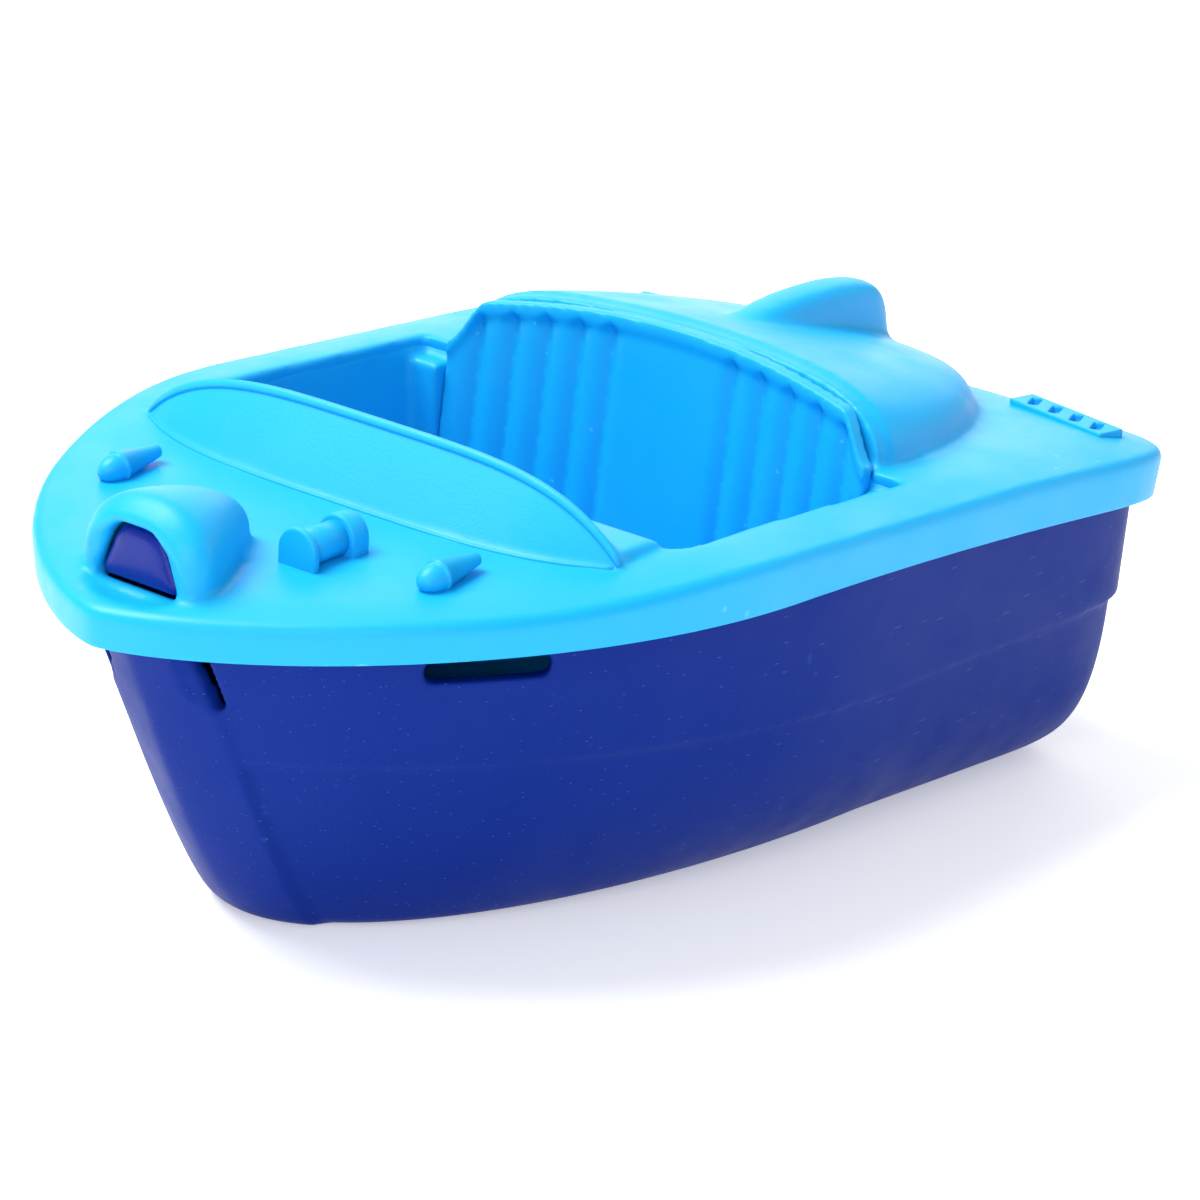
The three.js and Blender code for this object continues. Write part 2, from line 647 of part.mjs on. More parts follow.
function deck() {
  const solidDeck = deckForm(0, 0, 0)
    .add(cowlForm(0))
    .add(fin())
    .add(windscreen())
    .add(dash())
    .add(nacelleForm(0))
    .add(cleat())
    .add(sideBySide(torpedo))
    .add(sideBySide(grille));
  const pocket = lightBlock(LIGHT_CLEARANCE, NACELLE_FRONT_X + POCKET_DEPTH, 2 * POCKET_DEPTH);
  return solidDeck
    .subtract(deckForm(WALL, WALL, -WALL))
    .subtract(cowlForm(WALL))
    .subtract(nacelleForm(WALL))
    .subtract(pocket)
    .subtract(scoop())
    .subtract(wellCutter());
}

function cockpitTub() {
  const underDeck = deckForm(WALL + GAP, WALL + GAP, -SHEER_PEAK_Z);
  const pilaster = (side) => {
    const inner = side * (SEAT_HALF_WIDTH + GAP);
    const outer = side * (WELL_HALF_WIDTH + TUB_WALL);
    const [low, high] = [Math.min(inner, outer), Math.max(inner, outer)];
    const top = deckZ(WELL_REAR_X) - PILASTER_DROP;
    return box(WELL_REAR_X - TUB_WALL, WELL_REAR_X + PILASTER_DEPTH, low, high, FLOOR_Z - 1, top);
  };
  return tubForm(TUB_WALL)
    .subtract(tubForm(0))
    .add(sideBySide(pilaster).intersect(tubForm(TUB_WALL)))
    .intersect(underDeck);
}

function seatTop(y) {
  const corner = smoothstep(Math.abs(y), SEAT_HALF_WIDTH - SEAT_CORNER, SEAT_HALF_WIDTH);
  return SEAT_TOP_Z - SEAT_ARCH * (y / ARCH_REFERENCE) ** 2 - SEAT_CORNER * corner;
}

// Depth of the pillowed channels that run down each side of the seat back
function channelRelief(y) {
  const place = (Math.abs(y) - FIRST_CHANNEL_Y) / CHANNEL_PITCH;
  if (place < -0.5 || place > CHANNELS_PER_SIDE - 0.5) return 0;
  return CHANNEL_DEPTH * (1 - Math.abs(Math.sin(Math.PI * place)));
}

// Seat back: a raked curved panel with a plain rim along its top and pillows between its channels
function seatBack() {
  const rimBevel = 0.4;
  const place = (u, j) => {
    const y = lerp(-SEAT_HALF_WIDTH, SEAT_HALF_WIDTH, u);
    const top = seatTop(y);
    const z = [FLOOR_Z + GAP, top - SEAT_RIM - rimBevel, top - SEAT_RIM, top][j];
    return point(seatBackX(y) + (SEAT_TOP_Z - z) * SEAT_RAKE, y, z);
  };
  const front = (u, j) => {
    const p = place(u, j);
    p.x += SEAT_THICKNESS - (j < 2 ? channelRelief(p.y) : 0);
    return p;
  };
  return slab(front, place, SEAT_FACETS, 3);
}

function bowLight() {
  return lightBlock(0, NACELLE_FRONT_X - LIGHT_SETBACK, LIGHT_DEPTH);
}

const boat = new THREE.Group();
boat.add(
  mesh("hull_shell", hullShell(), HULL_BLUE),
  mesh("deck", deck(), DECK_BLUE),
  mesh("cockpit_tub", cockpitTub(), DECK_BLUE),
  mesh("seat_back", seatBack(), DECK_BLUE),
  mesh("bow_light", bowLight(), HULL_BLUE),
);

export default boat;
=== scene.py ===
"""Toy speedboat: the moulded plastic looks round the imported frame.

Shapes are worked out in millimetres in the frame's axes (+X bow, +Y port, +Z up) and scaled to metres
when a piece is finished. Each piece is lofted from the boat's lines, joined and cut, remeshed to one
skin and relaxed, which leaves the small fillets of an injection moulding on every edge.
"""
import math

import bmesh
import bpy
import numpy as np
from mathutils import Matrix, Vector


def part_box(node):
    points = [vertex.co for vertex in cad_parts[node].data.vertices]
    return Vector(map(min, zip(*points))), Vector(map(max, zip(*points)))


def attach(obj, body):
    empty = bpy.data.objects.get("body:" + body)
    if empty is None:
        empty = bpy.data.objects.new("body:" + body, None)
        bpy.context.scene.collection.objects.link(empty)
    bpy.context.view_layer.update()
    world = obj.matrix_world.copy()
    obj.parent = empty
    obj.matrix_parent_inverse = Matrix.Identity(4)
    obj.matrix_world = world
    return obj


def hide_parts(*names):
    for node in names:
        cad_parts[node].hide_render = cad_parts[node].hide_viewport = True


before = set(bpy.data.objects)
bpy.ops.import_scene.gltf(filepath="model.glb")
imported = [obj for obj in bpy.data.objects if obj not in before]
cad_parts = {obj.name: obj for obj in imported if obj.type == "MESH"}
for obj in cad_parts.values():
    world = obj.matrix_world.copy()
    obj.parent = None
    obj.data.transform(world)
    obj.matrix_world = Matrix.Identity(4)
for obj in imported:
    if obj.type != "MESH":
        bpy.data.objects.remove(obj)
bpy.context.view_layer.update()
MM = 0.001


def box_mm(node):
    low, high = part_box(node)
    return np.array(low) / MM, np.array(high) / MM


DECK_HIGH = box_mm("deck")[1]
TUB_LOW = box_mm("cockpit_tub")[0]
SEAT_LOW, SEAT_HIGH = box_mm("seat_back")
LIGHT_LOW, LIGHT_HIGH = box_mm("bow_light")

# Main sizes from the frame, and the wall that every moulding shares
HALF_LENGTH = DECK_HIGH[0]
HALF_BEAM = DECK_HIGH[1]
WALL = 2.2
GAP = 0.3
OVERHEAD_Z = HALF_LENGTH  # well above the boat, where the bodies that cut it end

# Fineness: voxel sizes for the remeshed skins, how often their points are relaxed, and how many
# columns, rows or stations a lofted body has
SHELL_VOXEL = 0.5
TUB_VOXEL = 0.6
SEAT_VOXEL = 0.32
LIGHT_VOXEL = 0.18
GRILLE_VOXEL = 0.2
EDGE_PASSES = 3
FILLET_PASSES = 26
LIGHT_PASSES = 5
GRILLE_PASSES = 4
LATHE_SEGMENTS = 40
FORM_STATIONS = 40
COWL_COLUMNS = 72
NACELLE_COLUMNS = 48
SCREEN_COLUMNS = 90
SCREEN_ROWS = 8
STRIP_SECTIONS = 121
DASH_COLUMNS = 60
BAY_COLUMNS = 48

# Plan outline
BOW_SHOULDER_X = 8
BOW_FULLNESS = 0.7
STERN_SQUARENESS = 13
OUTLINE_STEPS = 60

# Sheer and deck surface
SHEER_PEAK_Z = 46.1
SHEER_PEAK_X = 28
SHEER_CURVE = 0.00053
DECK_RISE = 7.9
FOREDECK_DROP = 1.7
FOREDECK_START_X = 15
FOREDECK_FULL_X = 50
SKIRT_DRAFT = 0.7
SKIRT_SPARE = 2.5
SHOULDER_RADIUS = 1.5
SHOULDER_TO_PLATEAU = 0.9
PLATEAU_INSET = 9
DECK_MIDDLE_INSET = 31

# Hull
SKIRT_OVERHANG = 2.8
TRANSOM_OVERHANG = 3.6
HULL_TOP_LIFT = 1.4
STEP_Z = 26.4
STEP_SLOPE = 0.008
STEP_DEPTH = 0.8
STEM_FOOT_X = 57.5
STEM_RAKE = 0.475
FOREFOOT_ROUND = 6
BILGE_INSET = 18.8
TRANSOM_ROUND = 2.2
TRANSOM_DRAFT = 0.05
SIDE_DRAFT = 0.03
HULL_SHOULDER_X = -8
BOTTOM_SHOULDER_X = -31
HULL_FULLNESS = 0.76
BOTTOM_FULLNESS = 0.51
BOTTOM_ROUND_FROM = 0.7
BOTTOM_SQUARENESS = 12
STEM_PANEL_HALF_WIDTH = 9.2
STEM_PANEL_PROUD = 0.5
STEM_FLATNESS = 0.45
STERN_FULLNESS = 3
STERN_SWELL = (0.3, 0.9)
LONG_SLOT_HALF_SIZE = (8, 6, 1.5)
LONG_SLOT_PLACE = (45.5, 32.5, 41.2)
LONG_SLOT_TURN = 0.78
BOW_SLOT = [(8.5, 35.2), (9.8, 35.2), (9.8, 50), (7, 50), (7.3, 42)]
BOW_SLOT_REAR_X = 64
FLUTE = [(0, 0), (0.8, 1.3), (2, 2), (4, 2.3), (18, 2.3), (18, 0)]
FLUTE_PLACE = (71.6, 8.1, 34.5)
FLUTE_TILT = math.acos(0.40)

# Cockpit
WELL_FRONT_X = 22.5
WELL_REAR_X = -26
WELL_HALF_WIDTH = 42.4
WELL_CORNER = 5
TUB_WALL = 1.6
TUB_SETBACK = 0.25
TUB_TUCK = 1.2
SEAT_SEAM = 0.12
FLOOR_Z = TUB_LOW[2] + TUB_WALL
FLOOR_FRONT_X = 19.5
FLOOR_HALF_WIDTH = 38.5
FLOOR_CORNER = 14
PILASTER_DEPTH = 3.4
PILASTER_DROP = 2.8

# Seat back
SEAT_X = SEAT_LOW[0]
SEAT_TOP_Z = SEAT_HIGH[2]
SEAT_HALF_WIDTH = SEAT_HIGH[1]
SEAT_THICKNESS = 2.2
SEAT_RAKE = math.tan(math.radians(5.5))
SEAT_WRAP = 4.35
SEAT_ARCH = 4.8
ARCH_REFERENCE = 40
SEAT_CORNER = 5.5
CHANNELS_PER_SIDE = 5
CHANNEL_PITCH = 5.4
FIRST_CHANNEL_Y = 10.7
CHANNEL_DEPTH = 1.25
SEAT_RIM = 1.7
SEAT_SCALLOP = 0.9
SEAT_RECESS = 0.35
PILLOW_FULLNESS = 0.75
SEAT_ROWS = 60
SEAT_ROW_CROWDING = 1.8
SEAT_COLUMNS = 480

# Cowl and fin
COWL_LIP = 2.8
COWL_STEP = 0.5
COWL_LENGTH = 46
COWL_HALF_WIDTH = 37.4
COWL_CROWN = 0.26
COWL_TAIL_HEIGHT = 0.42
COWL_EDGE = 8
FIN_TOP_Z = 63
FIN_THICKNESS = 7.2
FIN_FOOT = (-36, 58)
FIN_FRONT_HANDLES = [(-44, FIN_TOP_Z - 0.4), (-52, FIN_TOP_Z)]
FIN_CREST = (-62, FIN_TOP_Z - 0.2)
FIN_BACK_HANDLES = [(-74.5, FIN_TOP_Z - 0.7), (-75.2, 60)]
FIN_HEEL = (-76.2, 54)
FIN_ROOT = [(-77.2, 47), (-60, 47), (-36, 50)]
FIN_MIDDLE = (-60, 50)
FIN_ROUNDING = 0.16

# Windscreen and dash
SCREEN_BASE_X = 39
SCREEN_TOP_X = 30.8
SCREEN_HALF_WIDTH = 41.5
SCREEN_HEIGHT = 9.6
SCREEN_THICKNESS = 2.2
SCREEN_SWEEP = 8
SCREEN_SQUARENESS = 4
SCREEN_ARCH = 0.8
SCREEN_FOOT_DEPTH = 1.5
SCREEN_TOP_DROP = 0.2
STRIP_WIDTH = 1.25
BEAD_RADIUS = 0.35
DASH_HEIGHT = 1.1
DASH_HALF_WIDTH = 40
DASH_SETBACK = 1
DASH_THICKNESS = 4

# Nacelle and bow light
NACELLE_FRONT_X = 75.3
NACELLE_LENGTH = 21
NACELLE_HALF_WIDTH = 11
NACELLE_HEIGHT = 10.7
NACELLE_TAPER = 1.5
NACELLE_CROWN = 2.3
NACELLE_SOLID_TAIL = 3
NACELLE_ARCH = 0.65
NOSE_PART = 0.2
NOSE_NARROWING = 0.25
NOSE_LOWERING = 0.22
POCKET_DEPTH = 8
LIGHT_BOTTOM_Z = LIGHT_LOW[2]
LIGHT_TOP_Z = LIGHT_HIGH[2]
LIGHT_SPREAD = 0.5
LIGHT_HALF_WIDTH = LIGHT_HIGH[1] + LIGHT_SPREAD
LIGHT_TOP_HALF_WIDTH = 4.1
LIGHT_CLEARANCE = 0.3
LIGHT_BULGE = 1.5
LIGHT_SQUARENESS = 0.36
LIGHT_FACE_SHRINK = 0.05
SCOOP_LENGTH = 5.6
SCOOP_HALF_WIDTH = 8.8
SCOOP_Z = 51.6
SCOOP_DEPTH = 2.2
SCOOP_SETBACK = 0.4
SCOOP_HEADROOM = 3

# Deck fittings
TORPEDO_X = 49.8
TORPEDO_Y = 27.6
TORPEDO_LIFT = 1.3
TORPEDO_RADIUS = 1.95
TORPEDO_TAIL = 6.6
TORPEDO_TILT = 0.09
TORPEDO_DOME = 3.0
TORPEDO_TIP_RADIUS = 0.95
TORPEDO_TIP_ROUND = 0.6
TORPEDO_RING_LIFT = 0.25
TORPEDO_RING_LENGTH = 0.6
CLEAT_Y = 11
CLEAT_FRONT_X = 57.3
CLEAT_REAR_X = 49.2
CLEAT_HALF_WIDTH = 3.1
CLEAT_SHOULDER = 2
CLEAT_FRONT_THICKNESS = 1.1
CLEAT_REAR_THICKNESS = 3
CLEAT_EDGE = 0.25
SPINDLE_RADII = (2.4, 2.3, 2.6)
GRILLE_X = -74.5
GRILLE_Y = {1: 35, -1: 32.5}  # by side: 1 is port, -1 is starboard
GRILLE_TURN = -0.2
GRILLE_PITCH = 4.2
GRILLE_LIFT = 0.8
GRILLE_HALF_SIZE = (2.3, 9.2)
GRILLE_DEPTH = 2.6
GRILLE_SLOT_HALF_SIZE = (1.6, 0.75)
GRILLE_SLOT_DEPTH = 1.2
GRILLE_SLOT_TURN = 0.55


def lerp(a, b, t):
    return a + (b - a) * t


def smoothstep(x, low, high):
    t = np.clip((x - low) / (high - low), 0, 1)
    return t * t * (3 - 2 * t)


def sheer_z(x):
    return SHEER_PEAK_Z - SHEER_CURVE * (x - SHEER_PEAK_X) ** 2


def deck_z(x):
    return sheer_z(x) + DECK_RISE - FOREDECK_DROP * smoothstep(x, FOREDECK_START_X, FOREDECK_FULL_X)


def step_z(x):
    return STEP_Z + STEP_SLOPE * x


# Mesh tools: everything below is in millimetres until finish_piece() scales it

def points(x, y, z):
    x, y, z = np.broadcast_arrays(np.asarray(x, float), np.asarray(y, float), np.asarray(z, float))
    return np.stack([x, y, z], axis=-1)


def linked_object(name, data):
    made = bpy.data.objects.new(name, data)
    bpy.context.scene.collection.objects.link(made)
    return made


def new_object(name, vertices, faces):
    mesh = bpy.data.meshes.new(name)
    mesh.from_pydata([tuple(v) for v in vertices], [], [tuple(f) for f in faces])
    work = bmesh.new()
    work.from_mesh(mesh)
    bmesh.ops.remove_doubles(work, verts=work.verts, dist=1e-4)
    bmesh.ops.dissolve_degenerate(work, edges=work.edges, dist=1e-4)
    bmesh.ops.recalc_face_normals(work, faces=work.faces)
    work.to_mesh(mesh)
    work.free()
    return linked_object(name, mesh)


def sides_between(rings):
    """Four-sided faces from each ring to the next, where all rings have the same number of points."""
    count = len(rings[0])
    index = np.arange(count)
    after = (index + 1) % count
    faces = []
    for r in range(len(rings) - 1):
        a = r * count + index
        b = r * count + after
        faces.extend(np.stack([a, b, b + count, a + count], axis=1).tolist())
    return faces


def loft(name, rings):
    """A closed body through rings, the first and last of which are already collapsed."""
    return new_object(name, np.concatenate(rings), sides_between(rings))


def stacked(name, rings):
    """A closed body through rings, with a flat face on the first and on the last."""
    vertices = np.concatenate(rings)
    count = len(rings[0])
    first = list(range(count))[::-1]
    last = list(range(len(vertices) - count, len(vertices)))
    return new_object(name, vertices, [first, last, *sides_between(rings)])


def centred(ring):
    middle = ring.copy()
    middle[:, 1] = 0
    return middle


def plan_loft(name, rings):
    return loft(name, [centred(rings[0]), *rings, centred(rings[-1])])


def flattened(ring):
    return (ring + ring[::-1]) / 2


def capped_loft(name, rings):
    return loft(name, [flattened(rings[0]), *rings, flattened(rings[-1])])


def flattened_back(ring):
    """The ring's return along its own straight back edge."""
    back = ring[::-1].copy()
    back[:, 0] = ring[:, 0].min()
    return back


def slab(name, front, back, across, rows):
    """A body between two surfaces, each a function of how far across (0 to 1) and of the row."""
    u = np.linspace(0, 1, across + 1)
    rings = [np.concatenate([front(u, row), back(u[::-1], row)]) for row in rows]
    return capped_loft(name, rings)


def block(name, low, high):
    work = bmesh.new()
    bmesh.ops.create_cube(work, size=1)
    bmesh.ops.scale(work, vec=[high[i] - low[i] for i in range(3)], verts=work.verts)
    bmesh.ops.translate(work, vec=[(high[i] + low[i]) / 2 for i in range(3)], verts=work.verts)
    mesh = bpy.data.meshes.new(name)
    work.to_mesh(mesh)
    work.free()
    return linked_object(name, mesh)


def moved(obj, x, y, z, pitch=0, yaw=0):
    """The object turned about Y by pitch and then about Z by yaw, in radians, and shifted."""
    rotation = Matrix.Rotation(yaw, 4, "Z") @ Matrix.Rotation(pitch, 4, "Y")
    obj.data.transform(Matrix.Translation((x, y, z)) @ rotation)
    return obj


def prism(name, outline, low_x, high_x):
    """An outline in the YZ plane, pushed along X."""
    across, up = np.asarray(outline, float).T
    return stacked(name, [points(x, across, up) for x in (low_x, high_x)])


def lathe(name, profile):
    """A body turned about X from (x, radius) points, whose two ends lie on the axis."""
    angles = np.linspace(0, 2 * math.pi, LATHE_SEGMENTS, endpoint=False)
    rings = [points(x, r * np.cos(angles), r * np.sin(angles)) for x, r in profile]
    return loft(name, rings)


def applied(obj):
    """The object with its modifiers made permanent."""
    graph = bpy.context.evaluated_depsgraph_get()
    mesh = bpy.data.meshes.new_from_object(obj.evaluated_get(graph))
    obj.modifiers.clear()
    obj.data = mesh
    return obj


def combined(base, others, operation):
    """base after one boolean with each of the others, which are used up."""
    for other in others:
        modifier = base.modifiers.new("boolean", "BOOLEAN")
        modifier.operation = operation
        modifier.solver = "MANIFOLD"
        modifier.object = other
    applied(base)
    for other in others:
        bpy.data.objects.remove(other)
    return base


def joined(base, *others):
    return combined(base, others, "UNION")


def cut(base, *others):
    return combined(base, others, "DIFFERENCE")


def crossed(base, *others):
    return combined(base, others, "INTERSECT")


def merged(base, *others):
    """One mesh holding base and the other bodies as they are."""
    work = bmesh.new()
    work.from_mesh(base.data)
    for other in others:
        work.from_mesh(other.data)
        bpy.data.objects.remove(other)
    work.to_mesh(base.data)
    work.free()
    return base


def remeshed(obj, voxel):
    modifier = obj.modifiers.new("skin", "REMESH")
    modifier.mode = "VOXEL"
    modifier.voxel_size = voxel
    modifier.use_smooth_shade = True
    return applied(obj)


def vertices_of(obj):
    co = np.empty(len(obj.data.vertices) * 3, np.float32)
    obj.data.vertices.foreach_get("co", co)
    return co.reshape(-1, 3).astype(float)


def set_vertices(obj, co):
    obj.data.vertices.foreach_set("co", co.astype(np.float32).ravel())
    obj.data.update()


def relaxed(obj, passes, weight=None):
    """Each point drawn towards the middle of its neighbours, by weight(points) where it is given."""
    co = vertices_of(obj)
    edges = np.empty(len(obj.data.edges) * 2, np.int32)
    obj.data.edges.foreach_get("vertices", edges)
    a, b = edges.reshape(-1, 2).T
    start, end = np.concatenate([a, b]), np.concatenate([b, a])
    share = np.bincount(start, minlength=len(co)).clip(1)[:, None]
    pull = 0.5 if weight is None else 0.5 * weight(co)[:, None]
    for _ in range(passes):
        mean = np.stack([np.bincount(start, co[end, k], len(co)) for k in range(3)], axis=1) / share
        co = co + pull * (mean - co)
    set_vertices(obj, co)
    return obj


def finish_piece(obj, name, node, material):
    obj.name = name
    obj.data.name = name
    obj.data.transform(Matrix.Scale(MM, 4))
    for face in obj.data.polygons:
        face.use_smooth = True
    obj.data.materials.clear()
    obj.data.materials.append(material)
    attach(obj, "root")
    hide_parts(node)


# The boat's lines

def plan_outline(bow, stern, half, shoulder, fullness, squareness):
    """A boat's outline from above: pointed and full ahead of its shoulder, squared off behind it."""
    bow_angle = np.linspace(0, math.pi / 2, OUTLINE_STEPS)
    stern_angle = np.linspace(math.pi / 2, 0, OUTLINE_STEPS)[1:]
    power = 2 / squareness
    x = np.concatenate([
        shoulder + (bow - shoulder) * np.cos(bow_angle),
        shoulder - (shoulder - stern) * np.abs(np.cos(stern_angle)) ** power,
    ])
    y = np.concatenate([
        half * np.sin(bow_angle) ** (2 * fullness),
        half * np.sin(stern_angle) ** power,
    ])
    return np.concatenate([x, x[-2:0:-1]]), np.concatenate([y, -y[-2:0:-1]])


def deck_outline(inset):
    return plan_outline(HALF_LENGTH - inset, -HALF_LENGTH + inset, HALF_BEAM - inset,
                        BOW_SHOULDER_X, BOW_FULLNESS, STERN_SQUARENESS)


def hull_outline(depth, bilge, inset):
    down = depth / SHEER_PEAK_Z
    under = min(bilge / BOTTOM_ROUND_FROM, 1)
    return plan_outline(
        bow=STEM_FOOT_X + STEM_RAKE * (SHEER_PEAK_Z - depth) - FOREFOOT_ROUND * bilge - inset,
        stern=-HALF_LENGTH + TRANSOM_OVERHANG + TRANSOM_DRAFT * depth + TRANSOM_ROUND * bilge + inset,
        half=HALF_BEAM - SKIRT_OVERHANG - SIDE_DRAFT * depth - BILGE_INSET * bilge - inset,
        shoulder=lerp(HULL_SHOULDER_X, BOTTOM_SHOULDER_X, down),
        fullness=lerp(HULL_FULLNESS, BOTTOM_FULLNESS, under),
        squareness=lerp(STERN_SQUARENESS, BOTTOM_SQUARENESS, down),
    )


def stem_flattened(x, y, depth):
    """The outline with its nose pressed towards a flat panel, most of all at the top."""
    edge_x = np.interp(STEM_PANEL_HALF_WIDTH, y[:OUTLINE_STEPS], x[:OUTLINE_STEPS])
    flatness = STEM_FLATNESS * (1 - depth / SHEER_PEAK_Z)
    return np.where(x > edge_x, lerp(x, edge_x, flatness), x)


def hull_form(name, inset, floor_z, top_lift, step_depth=STEP_DEPTH):
    """The hull from its flat bottom over the bilge and the side step to above the sheer line."""
    bilge_steps = 24
    rings = []

    def add_ring(depth, bilge, extra_inset, height):
        x, y = hull_outline(depth, bilge, inset + extra_inset)
        x = stem_flattened(x, y, depth)
        stern = smoothstep(-x / HALF_LENGTH, *STERN_SWELL)
        y = y + np.sign(y) * STERN_FULLNESS * 4 * bilge * (1 - bilge) * stern * (np.abs(y) > WALL)
        rings.append(points(x, y, np.maximum(height(x), floor_z)))

    for k in range(bilge_steps, -1, -1):
        angle = math.pi / 2 * k / bilge_steps
        level = 1 - math.sin(angle)
        add_ring(SHEER_PEAK_Z - STEP_Z * level, 1 - math.cos(angle), step_depth,
                 lambda x, level=level: step_z(x) * level)
    side_steps = 6
    for k in range(side_steps + 1):
        rise = k / side_steps
        add_ring((SHEER_PEAK_Z - STEP_Z) * (1 - rise), 0, 0,
                 lambda x, rise=rise: lerp(step_z(x), sheer_z(x) + top_lift, rise))
    return plan_loft(name, rings)


def deck_form(name, inset, drop, skirt_foot):
    """The deck from its skirt's foot over the rounded shoulder to its crowned middle."""
    arc_steps = 8
    rings = []

    def add_ring(ring_inset, height):
        x, y = deck_outline(inset + ring_inset)
        rings.append(points(x, y, height(x)))

    def edge(x):
        return deck_z(x) - SHOULDER_TO_PLATEAU - drop

    add_ring(SKIRT_DRAFT, lambda x: sheer_z(x) + skirt_foot)
    for k in range(arc_steps + 1):
        angle = math.pi / 2 * k / arc_steps
        add_ring(SHOULDER_RADIUS * (1 - math.cos(angle)),
                 lambda x, angle=angle: edge(x) - SHOULDER_RADIUS * (1 - math.sin(angle)))
    for k in range(1, 4):
        rise = k / 3
        add_ring(lerp(SHOULDER_RADIUS, PLATEAU_INSET, rise),
                 lambda x, rise=rise: edge(x) + SHOULDER_TO_PLATEAU * math.sin(rise * math.pi / 2))
    add_ring(DECK_MIDDLE_INSET, lambda x: deck_z(x) - drop)
    return plan_loft(name, rings)


def seat_back_x(y):
    return SEAT_X + SEAT_WRAP * (y / ARCH_REFERENCE) ** 2


def arch_ring(across, x_at, rise, half):
    """An arch over the deck from side to side, and back under the deck's surface."""
    angle = np.linspace(math.pi, 0, across + 1)
    y = half * np.cos(angle)
    x = x_at(y)
    over = points(x, y, deck_z(x) + rise(np.cos(angle), np.abs(np.sin(angle))))
    under = points(x, y, deck_z(x) - WALL - 1)[::-1]
    return np.concatenate([over, under])


def cowl_form(name, inset):
    """The crowned cowl behind the seat, with its front lip, or inset the hollow inside it."""
    rings = []

    def add_ring(aft, forward, lower):
        half = (COWL_HALF_WIDTH - inset - lower) * math.sqrt(1 - aft**2)
        full = SEAT_TOP_Z - deck_z(SEAT_X) + COWL_STEP - inset - lower
        height = full * lerp(1, COWL_TAIL_HEIGHT, aft) * math.sqrt(1 - aft**COWL_EDGE)
        rings.append(arch_ring(
            COWL_COLUMNS,
            lambda y: seat_back_x(y) + forward - COWL_LIP - (COWL_LENGTH - inset) * aft,
            lambda c, s: height * (1 - COWL_CROWN * c**2) * np.sqrt(np.maximum(1 - c**COWL_EDGE, 0)),
            half,
        ))

    if inset == 0:
        add_ring(0, COWL_LIP, COWL_STEP)
        add_ring(0, COWL_STEP, COWL_STEP)
    for k in range(FORM_STATIONS + 1):
        add_ring(min(math.sin(math.pi / 2 * k / FORM_STATIONS), 0.9995), 0, 0)
    return capped_loft(name, rings)


def bezier(start, handle_a, handle_b, end, steps=14):
    t = np.linspace(0, 1, steps + 1)[:, None]
    a, b, c, d = (np.array(p, float) for p in (start, handle_a, handle_b, end))
    return a * (1 - t) ** 3 + 3 * b * t * (1 - t) ** 2 + 3 * c * t**2 * (1 - t) + d * t**3


def fin():
    """The fin, whose section narrows a little towards its rounded top."""
    front = bezier(FIN_FOOT, *FIN_FRONT_HANDLES, FIN_CREST)
    back = bezier(FIN_CREST, *FIN_BACK_HANDLES, FIN_HEEL)[1:]
    outline = np.concatenate([front, back, FIN_ROOT])
    middle = np.array(FIN_MIDDLE)
    rings = []
    for side in np.linspace(-1, 1, 9):
        round_off = 1 - math.sqrt(max(1 - (abs(side) ** 3), 0))
        inner = middle + (outline - middle) * (1 - FIN_ROUNDING * round_off)
        rings.append(points(inner[:, 0], FIN_THICKNESS / 2 * side, inner[:, 1]))
    return stacked("fin", rings)


def screen_base_x(y):
    return SCREEN_BASE_X - SCREEN_SWEEP * np.abs(y / SCREEN_HALF_WIDTH) ** SCREEN_SQUARENESS


def screen_point(u, up):
    """A point on the windscreen's face: u runs from starboard to port, up from foot to top edge."""
    y = lerp(-SCREEN_HALF_WIDTH, SCREEN_HALF_WIDTH, u)
    side = np.abs(y / SCREEN_HALF_WIDTH)
    base_x = screen_base_x(y)
    height = SCREEN_HEIGHT * np.maximum(1 - side**SCREEN_SQUARENESS, 0) ** SCREEN_ARCH
    base = points(base_x, y, deck_z(base_x) - SCREEN_FOOT_DEPTH)
    top = points(SCREEN_TOP_X, y, deck_z(SCREEN_TOP_X) + height - SCREEN_TOP_DROP)
    return lerp(base, top, up)


def screen_x(y, z):
    """Where the windscreen's face stands at one height above its foot."""
    u = (y / SCREEN_HALF_WIDTH + 1) / 2
    foot, head = screen_point(u, 0), screen_point(u, 1)
    up = np.clip((z - foot[:, 2]) / (head[:, 2] - foot[:, 2]), 0, 1)
    return lerp(foot[:, 0], head[:, 0], up)


SCREEN_SLOPE = math.atan2(SCREEN_BASE_X - SCREEN_TOP_X, SCREEN_HEIGHT)
SCREEN_OUT = np.array([math.cos(SCREEN_SLOPE), 0, math.sin(SCREEN_SLOPE)])


def windscreen():
    def back(u, up):
        return screen_point(u, up) - SCREEN_OUT * SCREEN_THICKNESS

    return slab("windscreen", screen_point, back, SCREEN_COLUMNS, np.linspace(0, 1, SCREEN_ROWS))


